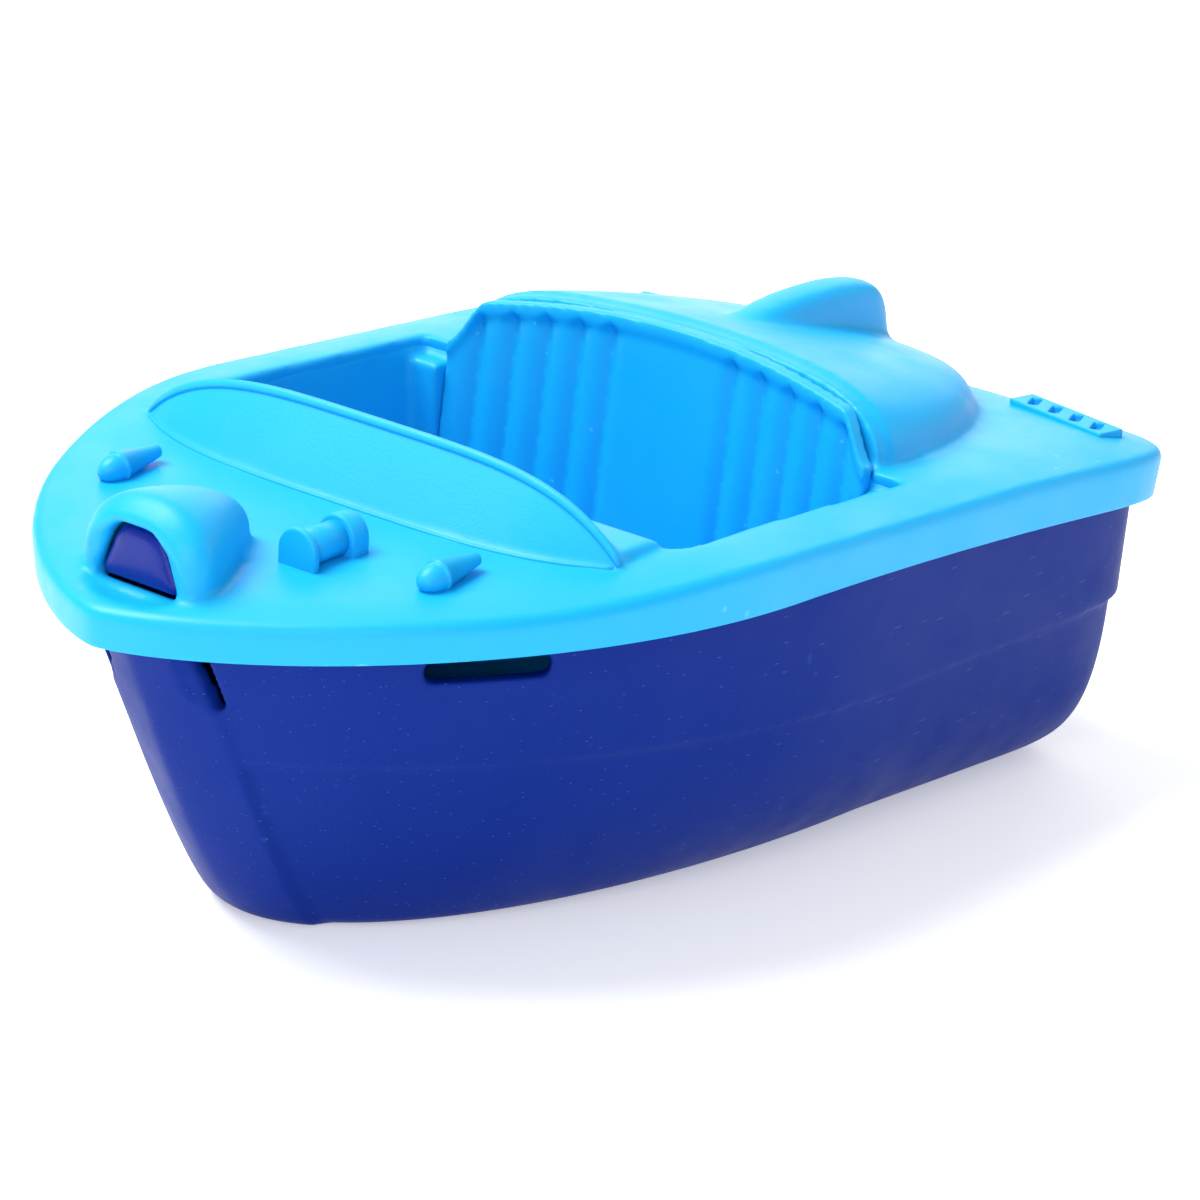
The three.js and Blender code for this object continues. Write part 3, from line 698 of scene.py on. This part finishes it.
def screen_strip():
    """The raised strip that follows the windscreen's top edge down to both points."""

    def face(u, out, down):
        edge = screen_point(lerp(0.01, 0.99, u), 1.0)
        foot = screen_point(lerp(0.01, 0.99, u), 0.0)
        along = foot - edge
        length = np.linalg.norm(along, axis=1)[:, None]
        step = np.minimum(down, length * 0.8)
        return edge + along / length * step + SCREEN_OUT * out

    u = np.linspace(0, 1, STRIP_SECTIONS)
    upper = [(-0.9, 0.05), (0.0, -0.05), (0.3, 0.1), (0.42, 0.4)]
    profile = upper + [(0.42, STRIP_WIDTH - 0.3), (0.25, STRIP_WIDTH), (-0.9, STRIP_WIDTH)]
    corners = [face(u, out, down) for out, down in profile]
    rings = [np.stack([c[i] for c in corners]) for i in range(len(u))]
    first = np.repeat(rings[0].mean(0, keepdims=True), len(profile), axis=0)
    last = np.repeat(rings[-1].mean(0, keepdims=True), len(profile), axis=0)
    return loft("strip", [first, *rings, last])


def screen_bead():
    """The fine raised line along the foot of the windscreen."""
    y = lerp(-SCREEN_HALF_WIDTH, SCREEN_HALF_WIDTH, np.linspace(0.015, 0.985, STRIP_SECTIONS))
    crease = screen_x(y, deck_z(SCREEN_BASE_X)) + 0.1
    middle = points(crease, y, deck_z(crease) + 0.05)
    angles = np.linspace(0, 2 * math.pi, 10, endpoint=False)
    lines = [middle + BEAD_RADIUS * points(math.cos(a), 0, math.sin(a)) for a in angles]
    sections = [np.stack([line[i] for line in lines]) for i in range(len(y))]
    ends = [np.repeat(s.mean(0, keepdims=True), len(s), axis=0) for s in (sections[0], sections[-1])]
    return loft("bead", [ends[0], *sections, ends[1]])


def dash():
    """The ledge between the windscreen and the cockpit."""
    top = deck_z(WELL_FRONT_X) + DASH_HEIGHT

    def edge(u, row, x):
        return points(x, lerp(-DASH_HALF_WIDTH, DASH_HALF_WIDTH, u), top - DASH_THICKNESS * (1 - row))

    def front(u, row):
        y = lerp(-DASH_HALF_WIDTH, DASH_HALF_WIDTH, u)
        return edge(u, row, screen_x(y, top) - DASH_SETBACK)

    return slab("dash", front, lambda u, row: edge(u, row, WELL_FRONT_X), DASH_COLUMNS, [0, 1])


def nacelle_form(name, inset):
    """The hump on the foredeck. Inset, as the hollow inside, it stops short of the tail."""
    rings = []
    for k in range(FORM_STATIONS + 1):
        back = k / FORM_STATIONS * 0.99
        nose = max(1 - back / NOSE_PART, 0) ** 2
        taper = (1 - back**NACELLE_TAPER) * (1 - NOSE_NARROWING * nose)
        crown = math.sqrt(1 - back**NACELLE_CROWN) * (1 - NOSE_LOWERING * nose)
        half = max(NACELLE_HALF_WIDTH * taper - inset, 0.2)
        height = max(NACELLE_HEIGHT * crown - inset, 0.1)
        x = NACELLE_FRONT_X - inset - (NACELLE_LENGTH - NACELLE_SOLID_TAIL * inset) * back
        rings.append(arch_ring(
            NACELLE_COLUMNS,
            lambda y, x=x: x + 0 * y,
            lambda c, s, h=height: h * s**NACELLE_ARCH,
            half,
        ))
    return capped_loft(name, rings)


def light_outline(grow):
    """The bow light's face: wide at its foot, narrow and round at its top."""
    half, top_half = LIGHT_HALF_WIDTH + grow, LIGHT_TOP_HALF_WIDTH + grow
    low, high = LIGHT_BOTTOM_Z - grow, LIGHT_TOP_Z + grow
    port = np.concatenate([
        bezier((half - 1.0, low), (half - 0.3, low), (half, low + 0.3), (half - 0.1, low + 1.1), 6),
        bezier((top_half + 0.9, high - 3.2), (top_half + 0.5, high - 1.6),
               (top_half - 0.7, high - 0.2), (top_half - 2.6, high), 10),
    ])
    starboard = port[::-1] * np.array([-1, 1])
    return np.concatenate([port, starboard])


def scoop():
    """The hollow in the deck just ahead of the bow light, bounded by a crescent lip."""
    angle = np.linspace(0, math.pi, 40)
    sweep = np.linspace(-math.pi / 2, math.pi / 2, 40)
    rings = []
    for a in sweep:
        out, up = math.cos(a), math.sin(a)
        x = NACELLE_FRONT_X - SCOOP_SETBACK + SCOOP_LENGTH * out * np.sin(angle)
        y = SCOOP_HALF_WIDTH * out * np.cos(angle)
        rings.append(points(x, y, SCOOP_Z + SCOOP_DEPTH * up * (1 if up < 0 else SCOOP_HEADROOM)))
    return loft("scoop", [np.concatenate([r, flattened_back(r)]) for r in rings])


def torpedo(side):
    """Marker light: a dome and a thin ring at its front, then a long tapered tail."""
    radius = TORPEDO_RADIUS
    high = radius + TORPEDO_RING_LIFT
    dome = [
        (TORPEDO_RING_LENGTH + TORPEDO_DOME * math.sin(a), radius * math.cos(a))
        for a in np.linspace(0, math.pi / 2, 14)
    ]
    tip = [
        (-TORPEDO_TAIL - TORPEDO_TIP_ROUND * math.cos(a), TORPEDO_TIP_RADIUS * math.sin(a))
        for a in np.linspace(0, math.pi / 2, 6)
    ]
    ring = [(0, radius), (0.05, high - 0.05), (0.15, high), (0.4, high), (0.55, high - 0.13)]
    body = lathe("torpedo", tip + ring + dome)
    height = deck_z(TORPEDO_X) + TORPEDO_LIFT
    return moved(body, TORPEDO_X, side * TORPEDO_Y, height, pitch=TORPEDO_TILT)


def cleat_plate(x, thickness):
    arc = np.linspace(0, math.pi, 24)
    half = CLEAT_HALF_WIDTH
    outline = [(half * math.cos(a), CLEAT_SHOULDER + half * math.sin(a)) for a in arc]
    outline = [(half, -WALL)] + outline + [(-half, -WALL)]
    rings = []
    edge, corner = CLEAT_EDGE, CLEAT_EDGE * 0.3
    near = ((0, edge), (corner, corner), (edge, 0))
    for along, shrink in (*near, *((thickness - x_in, y_in) for x_in, y_in in near[::-1])):
        section = np.array(outline) * (1 - shrink / half)
        rings.append(points(along, section[:, 0], section[:, 1]))
    return moved(stacked("plate", rings), x - thickness / 2, CLEAT_Y, deck_z(x))


def cleat():
    """Mooring cleat: a waisted spindle between two round-topped plates."""
    length = CLEAT_FRONT_X - CLEAT_REAR_X
    rear, waist, front = SPINDLE_RADII
    profile = [(0, 0), (0, rear), (length * 0.5, waist), (length, front), (length, 0)]
    height = deck_z(CLEAT_REAR_X) + CLEAT_SHOULDER
    spindle = moved(lathe("spindle", profile), CLEAT_REAR_X, CLEAT_Y, height)
    plates = [
        cleat_plate(CLEAT_FRONT_X, CLEAT_FRONT_THICKNESS),
        cleat_plate(CLEAT_REAR_X, CLEAT_REAR_THICKNESS),
    ]
    return merged(spindle, *plates)


def grille(side):
    """A low plate with four slanted slots, set near one corner of the stern."""
    half_x, half_y = GRILLE_HALF_SIZE
    plate = block("grille", (-half_x, -half_y, -GRILLE_DEPTH), (half_x, half_y, 0))
    half_x, half_y = GRILLE_SLOT_HALF_SIZE
    slots = []
    for k in (-1.5, -0.5, 0.5, 1.5):
        slot = block("slot", (-half_x, -half_y, -GRILLE_SLOT_DEPTH), (half_x, half_y, 1))
        slots.append(moved(slot, 0, k * GRILLE_PITCH, 0, yaw=side * GRILLE_SLOT_TURN))
    plate = relaxed(remeshed(cut(plate, *slots), GRILLE_VOXEL), GRILLE_PASSES)
    top = deck_z(GRILLE_X) + GRILLE_LIFT
    return moved(plate, GRILLE_X, side * GRILLE_Y[side], top, yaw=side * GRILLE_TURN)


def well_ring(front, rear, half, corner, z):
    """The cockpit's outline at one height: rounded corners in front, square ones at the rear."""
    angle = np.linspace(0, math.pi / 2, 16)
    x = np.concatenate([[front], front - corner * (1 - np.cos(angle)), [rear, rear]])
    y = np.concatenate([[0], half - corner * (1 - np.sin(angle)), [half, 0]])
    x = np.concatenate([x, x[-2:0:-1]])
    y = np.concatenate([y, -y[-2:0:-1]])
    return points(x, y, z)


def tub_form(name, grow):
    """The cockpit's space, up to well above its rim, grown by a distance."""
    floor = FLOOR_Z - grow
    rim_z = deck_z(0)
    main = plan_loft(name, [
        well_ring(FLOOR_FRONT_X + grow, WELL_REAR_X, FLOOR_HALF_WIDTH + grow, FLOOR_CORNER, floor),
        well_ring(WELL_FRONT_X + grow, WELL_REAR_X, WELL_HALF_WIDTH + grow, WELL_CORNER, rim_z),
        well_ring(WELL_FRONT_X + grow, WELL_REAR_X, WELL_HALF_WIDTH + grow, WELL_CORNER, OVERHEAD_Z),
    ])
    half = SEAT_HALF_WIDTH + GAP + grow
    bay = block("bay", (SEAT_X - GAP - grow, -half, floor), (WELL_REAR_X + 1, half, OVERHEAD_Z))
    return joined(main, bay)


def well_cutter():
    """The opening in the deck, whose rear edge follows the seat back's top."""
    low = sheer_z(-HALF_LENGTH) - WALL
    well = plan_loft("well", [
        well_ring(WELL_FRONT_X, WELL_REAR_X, WELL_HALF_WIDTH, WELL_CORNER, z) for z in (low, OVERHEAD_Z)
    ])
    half = SEAT_HALF_WIDTH + SEAT_SEAM

    def edge(u, row, x_at):
        y = lerp(-half, half, u)
        return points(x_at(y), y, lerp(low, OVERHEAD_Z, row))

    def behind_seat(y):
        return seat_back_x(y) + (SEAT_TOP_Z - seat_top(y)) * SEAT_RAKE - SEAT_SEAM

    bay = slab(
        "bay",
        lambda u, row: edge(u, row, lambda y: WELL_REAR_X + 1 + 0 * y),
        lambda u, row: edge(u, row, behind_seat),
        BAY_COLUMNS,
        [0, 1],
    )
    return joined(well, bay)


def seat_top(y):
    corner = smoothstep(np.abs(y), SEAT_HALF_WIDTH - SEAT_CORNER, SEAT_HALF_WIDTH)
    return SEAT_TOP_Z - SEAT_ARCH * (y / ARCH_REFERENCE) ** 2 - SEAT_CORNER * corner


def channel_relief(y):
    """Depth of the channels between the pillows, which run down each side of the seat back."""
    place = (np.abs(y) - FIRST_CHANNEL_Y) / CHANNEL_PITCH
    pillow = np.abs(np.sin(np.pi * place)) ** PILLOW_FULLNESS
    inside = (place > -0.5) & (place < CHANNELS_PER_SIDE - 0.5)
    return np.where(inside, CHANNEL_DEPTH * (1 - pillow), 0)


# The pieces

def hull_piece(material):
    """The hull moulding: stem panel joined on; hollow, tub's room, slots and flutes cut out."""
    outer = hull_form("outer", 0, 0, HULL_TOP_LIFT)
    proud = hull_form("proud", -STEM_PANEL_PROUD, 0, HULL_TOP_LIFT, step_depth=0)
    band = block(
        "band", (0, -STEM_PANEL_HALF_WIDTH, -1), (HALF_LENGTH, STEM_PANEL_HALF_WIDTH, OVERHEAD_Z)
    )
    shell = joined(outer, crossed(proud, band))
    cutters = [hull_form("hollow", WALL, WALL, HULL_TOP_LIFT + WALL), tub_form("relief", TUB_WALL + GAP)]
    for side in (1, -1):
        x, y, z = LONG_SLOT_PLACE
        long_slot = block("long_slot", [-half for half in LONG_SLOT_HALF_SIZE], LONG_SLOT_HALF_SIZE)
        cutters.append(moved(long_slot, x, side * y, z, yaw=-side * LONG_SLOT_TURN))
        bow_slot = [(side * across, up) for across, up in BOW_SLOT]
        cutters.append(prism("bow_slot", bow_slot, BOW_SLOT_REAR_X, HALF_LENGTH))
        x, y, z = FLUTE_PLACE
        cutters.append(moved(lathe("flute", FLUTE), x, side * y, z, pitch=-FLUTE_TILT))
    shell = cut(shell, *cutters)
    shell = relaxed(remeshed(shell, SHELL_VOXEL), EDGE_PASSES)
    finish_piece(shell, "hull_moulding", "hull_shell", material)


def near_surface(co, height, reach):
    """1 on points within reach of a height above the deck, falling to 0."""
    gap = np.abs(co[:, 2] - height)
    return 1 - smoothstep(gap, reach * 0.5, reach)


def deck_fillets(co):
    """How generous the moulding's corners are: round the nacelle, cowl, fin and the cockpit's rim."""
    x, y, z = co.T
    across = np.abs(y)
    on_deck = near_surface(co, deck_z(x), 2.2)
    at_nacelle = (x > 50) * (x < NACELLE_FRONT_X - 2) * (across < 15)
    round_nacelle = on_deck * at_nacelle * (np.abs(y - CLEAT_Y) > 5.5)
    round_cowl = on_deck * (x > -82) * (x < WELL_REAR_X - 10) * (across < COWL_HALF_WIDTH + 3.6)
    aft = np.clip((SEAT_X - COWL_LIP - x) / COWL_LENGTH, 0, 0.999)
    cowl_height = (SEAT_TOP_Z - deck_z(SEAT_X)) * lerp(1, COWL_TAIL_HEIGHT, aft)
    roof = deck_z(x) + cowl_height * np.sqrt(1 - aft**COWL_EDGE)
    round_fin = near_surface(co, roof, 2.4) * (across < 6.5) * (x < -38)
    fin_edge = (z > roof + 1) * (across < 5) * (x < -36)
    in_well = (x > WELL_REAR_X) * (x < WELL_FRONT_X - WELL_CORNER)
    rim = (z > deck_z(x) - WALL) * (np.abs(across - WELL_HALF_WIDTH) < 1.5) * in_well
    return np.maximum.reduce([round_nacelle, round_cowl * 0.7, round_fin, fin_edge * 0.6, rim * 0.3])


def trimmed_skirt(obj):
    """The skirt, moulded a little long, cut off exactly on the sheer line."""

    def below(u, row, lift):
        x = lerp(-HALF_LENGTH - 5, HALF_LENGTH + 5, row)
        return points(x, lerp(-HALF_BEAM - 5, HALF_BEAM + 5, u), sheer_z(x) + lift)

    rows = np.linspace(0, 1, 120)
    waste = slab("waste", lambda u, row: below(u, row, 0), lambda u, row: below(u, row, -6), 4, rows)
    return cut(obj, waste)


def deck_piece(material):
    """The deck moulding with all that is moulded on it. Fittings with crisp edges join last."""
    body = joined(
        deck_form("deck_plate", 0, 0, -SKIRT_SPARE),
        cowl_form("cowl", 0),
        fin(),
        windscreen(),
        dash(),
        nacelle_form("nacelle", 0),
    )
    opening = light_outline(LIGHT_CLEARANCE)
    pocket = prism("pocket", opening, NACELLE_FRONT_X - POCKET_DEPTH, NACELLE_FRONT_X + POCKET_DEPTH)
    body = cut(
        body,
        deck_form("under", WALL, WALL, -WALL - SKIRT_SPARE),
        cowl_form("cowl_hollow", WALL),
        nacelle_form("nacelle_hollow", WALL),
        pocket,
        scoop(),
        well_cutter(),
    )
    body = relaxed(remeshed(body, SHELL_VOXEL), EDGE_PASSES)
    body = trimmed_skirt(relaxed(body, FILLET_PASSES, deck_fillets))
    fittings = [cleat(), screen_strip(), screen_bead(), torpedo(1), torpedo(-1), grille(1), grille(-1)]
    finish_piece(merged(body, *fittings), "deck_moulding", "deck", material)


def seat_rest():
    """The wall that the seat's back leans on."""
    half = SEAT_HALF_WIDTH + 1

    def front(u, row):
        y = lerp(-half, half, u)
        z = lerp(FLOOR_Z - 0.5, seat_top(y) - 1, row)
        return points(seat_back_x(y) + (SEAT_TOP_Z - z) * SEAT_RAKE - SEAT_SEAM, y, z)

    def back(u, row):
        p = front(u, row)
        p[:, 0] = SEAT_X - GAP - 0.5
        return p

    return slab("seat_rest", front, back, BAY_COLUMNS, [0, 1])


def tub_piece(material):
    """The cockpit liner: walls and floor, a pilaster beside each end of the seat, and its rest."""
    walls = cut(tub_form("tub", TUB_WALL), tub_form("inside", TUB_SETBACK))
    rim_z = deck_z(WELL_REAR_X)
    for side in (1, -1):
        low, high = sorted([side * (SEAT_HALF_WIDTH + SEAT_SEAM), side * (WELL_HALF_WIDTH + 0.6)])
        pilaster_low = (WELL_REAR_X - 1, low, FLOOR_Z - 0.6)
        pilaster_high = (WELL_REAR_X + PILASTER_DEPTH, high, rim_z - PILASTER_DROP)
        low, high = sorted([side * (SEAT_HALF_WIDTH - 1), side * (WELL_HALF_WIDTH + TUB_WALL)])
        corner_low = (WELL_REAR_X - 1.6, low, FLOOR_Z)
        corner_high = (WELL_REAR_X - 0.1, high, rim_z)
        pilaster = block("pilaster", pilaster_low, pilaster_high)
        walls = joined(walls, pilaster, block("corner", corner_low, corner_high))
    walls = joined(walls, seat_rest())
    walls = crossed(walls, deck_form("under_deck", WALL - TUB_TUCK, WALL - TUB_TUCK, -SHEER_PEAK_Z))
    walls = relaxed(remeshed(walls, TUB_VOXEL), EDGE_PASSES)
    finish_piece(walls, "cockpit_moulding", "cockpit_tub", material)


def seat_piece(material):
    """The seat back: rows crowd towards its top, where the channels fade out below a plain rim."""

    def place(u, row):
        y = lerp(-SEAT_HALF_WIDTH, SEAT_HALF_WIDTH, u)
        z = lerp(FLOOR_Z + GAP, seat_top(y), row)
        return points(seat_back_x(y) + (SEAT_TOP_Z - z) * SEAT_RAKE, y, z)

    def front(u, row):
        p = place(u, row)
        below = seat_top(p[:, 1]) - p[:, 2]
        scallop = SEAT_SCALLOP * (1 - channel_relief(p[:, 1]) / CHANNEL_DEPTH)
        fade = smoothstep(below, SEAT_RIM - 0.7 + scallop, SEAT_RIM + 0.7 + scallop)
        recess = SEAT_RECESS * smoothstep(below, SEAT_RIM - 0.4, SEAT_RIM + 1.2)
        p[:, 0] += SEAT_THICKNESS - fade * channel_relief(p[:, 1]) - recess
        return p

    levels = 1 - np.linspace(1, 0, SEAT_ROWS + 1) ** SEAT_ROW_CROWDING
    body = slab("seat", front, place, SEAT_COLUMNS, levels)
    body = relaxed(remeshed(body, SEAT_VOXEL), EDGE_PASSES)
    finish_piece(body, "seat_back_moulding", "seat_back", material)


def light_piece(material):
    """The bow light: a block whose face bulges and rolls over at its edges."""
    outline = light_outline(-LIGHT_FACE_SHRINK)
    middle = outline.mean(0)
    back, front = LIGHT_LOW[0], LIGHT_HIGH[0]
    rings = [points(back, *(middle + (outline - middle) * s).T) for s in (0.0, 0.5, 1.0)]
    rings.append(points(front - LIGHT_BULGE, *outline.T))
    for a in np.linspace(0, math.pi / 2, 16)[1:]:
        section = middle + (outline - middle) * max(math.cos(a), 0) ** LIGHT_SQUARENESS
        rings.append(points(front - LIGHT_BULGE * (1 - math.sin(a)), section[:, 0], section[:, 1]))
    body = loft("light", rings)
    body = relaxed(remeshed(body, LIGHT_VOXEL), LIGHT_PASSES)
    finish_piece(body, "bow_light_block", "bow_light", material)


# Materials

RANGE_SOCKETS = ("From Min", "From Max", "To Min", "To Max")
SCUFF_COLOUR = (0.16, 0.20, 0.50)
SCUFF_DENSITY = 0.30
SCUFF_TURNS = (0.5, -0.9)
SCUFF_STRETCH = (90, 900, 900)
SPECKS_PER_METRE = 170
CREASE_SHADE = 0.45


class Shader:
    """A Principled material with the nodes that moulded plastic needs."""

    def __init__(self, name, roughness, specular):
        self.material = bpy.data.materials.new(name)
        self.material.use_nodes = True
        self.nodes = self.material.node_tree.nodes
        self.links = self.material.node_tree.links
        self.principled = self.nodes["Principled BSDF"]
        self.principled.inputs["Roughness"].default_value = roughness
        self.principled.inputs["Specular IOR Level"].default_value = specular
        self.position = self.node("ShaderNodeTexCoord").outputs["Object"]

    def node(self, kind, **settings):
        made = self.nodes.new(kind)
        for key, value in settings.items():
            setattr(made, key, value)
        return made

    def noise(self, scale, detail, roughness):
        made = self.node("ShaderNodeTexNoise")
        made.inputs["Scale"].default_value = scale
        made.inputs["Detail"].default_value = detail
        made.inputs["Roughness"].default_value = roughness
        self.links.new(self.position, made.inputs["Vector"])
        return made.outputs["Fac"]

    def cells(self, scale, position):
        made = self.node("ShaderNodeTexVoronoi")
        made.inputs["Scale"].default_value = scale
        self.links.new(position, made.inputs["Vector"])
        return made.outputs

    def ranged(self, value, low, high, to_low, to_high, interpolation="SMOOTHSTEP"):
        made = self.node("ShaderNodeMapRange", interpolation_type=interpolation)
        for socket, number in zip(RANGE_SOCKETS, (low, high, to_low, to_high)):
            made.inputs[socket].default_value = number
        self.links.new(value, made.inputs["Value"])
        return made.outputs["Result"]

    def mixed(self, factor, a, b):
        made = self.node("ShaderNodeMix", data_type="RGBA")
        for socket, value in ((0, factor), (6, a), (7, b)):
            if isinstance(value, bpy.types.NodeSocket):
                self.links.new(value, made.inputs[socket])
            else:
                made.inputs[socket].default_value = value
        return made.outputs[2]

    def maths(self, operation, a, b):
        made = self.node("ShaderNodeMath", operation=operation)
        for index, value in enumerate((a, b)):
            if isinstance(value, bpy.types.NodeSocket):
                self.links.new(value, made.inputs[index])
            else:
                made.inputs[index].default_value = value
        return made.outputs[0]

    def bumped(self, height, distance, strength, below=None):
        made = self.node("ShaderNodeBump")
        made.inputs["Distance"].default_value = distance
        made.inputs["Strength"].default_value = strength
        self.links.new(height, made.inputs["Height"])
        if below is not None:
            self.links.new(below, made.inputs["Normal"])
        return made.outputs["Normal"]

    def scuffed(self, colour):
        """The colour under fine light hairlines, which run two ways."""
        hairlines = []
        for turn in SCUFF_TURNS:
            mapping = self.node("ShaderNodeMapping")
            mapping.inputs["Rotation"].default_value = (turn, turn * 0.4, turn)
            mapping.inputs["Scale"].default_value = SCUFF_STRETCH
            self.links.new(self.position, mapping.inputs["Vector"])
            distance = self.cells(1, mapping.outputs["Vector"])["Distance"]
            hairlines.append(self.ranged(distance, 0.02, 0.10, SCUFF_DENSITY, 0, "LINEAR"))
        return self.mixed(self.maths("MAXIMUM", *hairlines), colour, (*SCUFF_COLOUR, 1))

    def set(self, socket, value):
        self.links.new(value, self.principled.inputs[socket])


def moulded_plastic(
    name, colour, faded, wear_and_edge_highlight, roughness, specular, speck_colour, speck_rarity, scuffed=False
):
    """Satin moulded plastic: flow marks, fine grain, lighter rubbed edges that are partly a painted edge
    highlight, painted shade in the creases and a few specks.
    """
    shader = Shader(name, roughness, specular)
    flow = shader.noise(38, 4, 0.55)
    mottle = shader.noise(420, 3, 0.5)
    colour_out = shader.mixed(shader.ranged(flow, 0.35, 0.7, 0, 0.55), (*colour, 1), (*faded, 1))
    colour_out = shader.mixed(shader.ranged(mottle, 0.3, 0.75, 0, 0.12), colour_out, (*faded, 1))
    geometry = shader.node("ShaderNodeNewGeometry")
    # Lighter colour on sharply convex edges: partly rubbed wear, partly a painted edge highlight
    edge = shader.ranged(geometry.outputs["Pointiness"], 0.565, 0.66, 0, 0.5)
    colour_out = shader.mixed(edge, colour_out, (*wear_and_edge_highlight, 1))
    # Painted shade: darker colour in creases and inner corners, where the skin folds inward
    crease = shader.ranged(geometry.outputs["Pointiness"], 0.40, 0.475, 0.6, 0)
    colour_out = shader.mixed(crease, colour_out, (*(CREASE_SHADE * c for c in colour), 1))
    specks = shader.cells(SPECKS_PER_METRE, shader.position)
    near = shader.ranged(specks["Distance"], 0.035, 0.06, 1, 0)
    rare = shader.node("ShaderNodeSeparateColor")
    shader.links.new(specks["Color"], rare.inputs["Color"])
    chosen = shader.ranged(rare.outputs["Red"], speck_rarity, speck_rarity + 0.01, 0, 0.75)
    colour_out = shader.mixed(shader.maths("MULTIPLY", near, chosen), colour_out, (*speck_colour, 1))
    if scuffed:
        colour_out = shader.scuffed(colour_out)
    shader.set("Base Color", colour_out)
    smudge = shader.noise(95, 5, 0.6)
    shader.set("Roughness", shader.ranged(smudge, 0.3, 0.75, roughness - 0.05, roughness + 0.09))
    grain = shader.noise(2600, 2, 0.5)
    waves = shader.noise(60, 2, 0.4)
    normal = shader.bumped(waves, 0.0006, 0.10)
    normal = shader.bumped(grain, 0.00006, 0.35, normal)
    shader.set("Normal", normal)
    return shader.material


# Stage, lights and camera

def stage():
    mesh = bpy.data.meshes.new("floor")
    half = 4.0
    corners = [(-half, -half, 0), (half, -half, 0), (half, half, 0), (-half, half, 0)]
    mesh.from_pydata(corners, [], [(0, 1, 2, 3)])
    floor = linked_object("floor", mesh)
    material = bpy.data.materials.new("pale_floor")
    material.use_nodes = True
    principled = material.node_tree.nodes["Principled BSDF"]
    principled.inputs["Base Color"].default_value = (0.93, 0.93, 0.93, 1)
    principled.inputs["Roughness"].default_value = 0.75
    principled.inputs["Emission Color"].default_value = (1, 1, 1, 1)
    principled.inputs["Emission Strength"].default_value = 0.38
    mesh.materials.append(material)


LIT_POINT = (0, 0, 0.03)


def area_light(name, position, size, energy):
    """A round soft light that faces the boat."""
    data = bpy.data.lights.new(name, "AREA")
    data.shape = "DISK"
    data.size = size
    data.energy = energy
    lamp = linked_object(name, data)
    lamp.location = position
    lamp.rotation_euler = (Vector(LIT_POINT) - Vector(position)).to_track_quat("-Z", "Y").to_euler()


def lights():
    world = bpy.data.worlds.new("studio")
    bpy.context.scene.world = world
    world.use_nodes = True
    background = world.node_tree.nodes["Background"]
    background.inputs["Color"].default_value = (1, 1, 1, 1)
    background.inputs["Strength"].default_value = 0.50
    area_light("key", (0.25, -0.40, 0.90), 0.7, 14)
    area_light("front", (0.80, 0.55, 0.45), 0.8, 4)
    area_light("backdrop", (-0.85, -0.60, 0.45), 1.0, 3)
    area_light("quarter", (-0.90, 0.55, 0.25), 0.6, 1)
    bpy.context.scene.view_settings.view_transform = "Standard"


def camera():
    """The view from the port bow: azimuth and elevation in degrees, distances in millimetres."""
    azimuth, elevation, roll = (math.radians(a) for a in (38.80, 20.17, 3.21))
    distance = 673
    aim = Vector((0, 12.4, 33.3))
    level = math.cos(elevation)
    towards = Vector((math.cos(azimuth) * level, math.sin(azimuth) * level, math.sin(elevation)))
    right = Vector((-math.sin(azimuth), math.cos(azimuth), 0))
    up = towards.cross(right)
    rolled_right = right * math.cos(roll) + up * math.sin(roll)
    rolled_up = up * math.cos(roll) - right * math.sin(roll)
    data = bpy.data.cameras.new("camera")
    data.sensor_width = 36
    data.lens = 151.7
    data.shift_x = 0.0033
    data.shift_y = 0.0017
    data.clip_end = 50
    view = linked_object("camera", data)
    location = (aim + towards * distance) * MM
    view.matrix_world = Matrix((
        (rolled_right.x, rolled_up.x, towards.x, location.x),
        (rolled_right.y, rolled_up.y, towards.y, location.y),
        (rolled_right.z, rolled_up.z, towards.z, location.z),
        (0, 0, 0, 1),
    ))
    bpy.context.scene.camera = view


DECK_PLASTIC = moulded_plastic(
    "deck_plastic",
    colour=(0.003, 0.385, 0.785),
    faded=(0.010, 0.410, 0.82),
    wear_and_edge_highlight=(0.10, 0.60, 0.92),
    roughness=0.42,
    specular=0.28,
    speck_colour=(0.01, 0.10, 0.22),
    speck_rarity=0.93,
)
HULL_PLASTIC = moulded_plastic(
    "hull_plastic",
    colour=(0.001, 0.019, 0.205),
    faded=(0.003, 0.023, 0.215),
    wear_and_edge_highlight=(0.015, 0.045, 0.30),
    roughness=0.46,
    specular=0.08,
    speck_colour=(0.12, 0.17, 0.46),
    speck_rarity=0.988,
    scuffed=True,
)
LIGHT_PLASTIC = moulded_plastic(
    "light_plastic",
    colour=(0.001, 0.015, 0.225),
    faded=(0.003, 0.020, 0.245),
    wear_and_edge_highlight=(0.015, 0.050, 0.34),
    roughness=0.30,
    specular=0.24,
    speck_colour=(0.10, 0.15, 0.50),
    speck_rarity=0.96,
)

camera()
stage()
lights()
hull_piece(HULL_PLASTIC)
deck_piece(DECK_PLASTIC)
tub_piece(DECK_PLASTIC)
seat_piece(DECK_PLASTIC)
light_piece(LIGHT_PLASTIC)

for data in [m for m in bpy.data.meshes if m.users == 0]:
    bpy.data.meshes.remove(data)
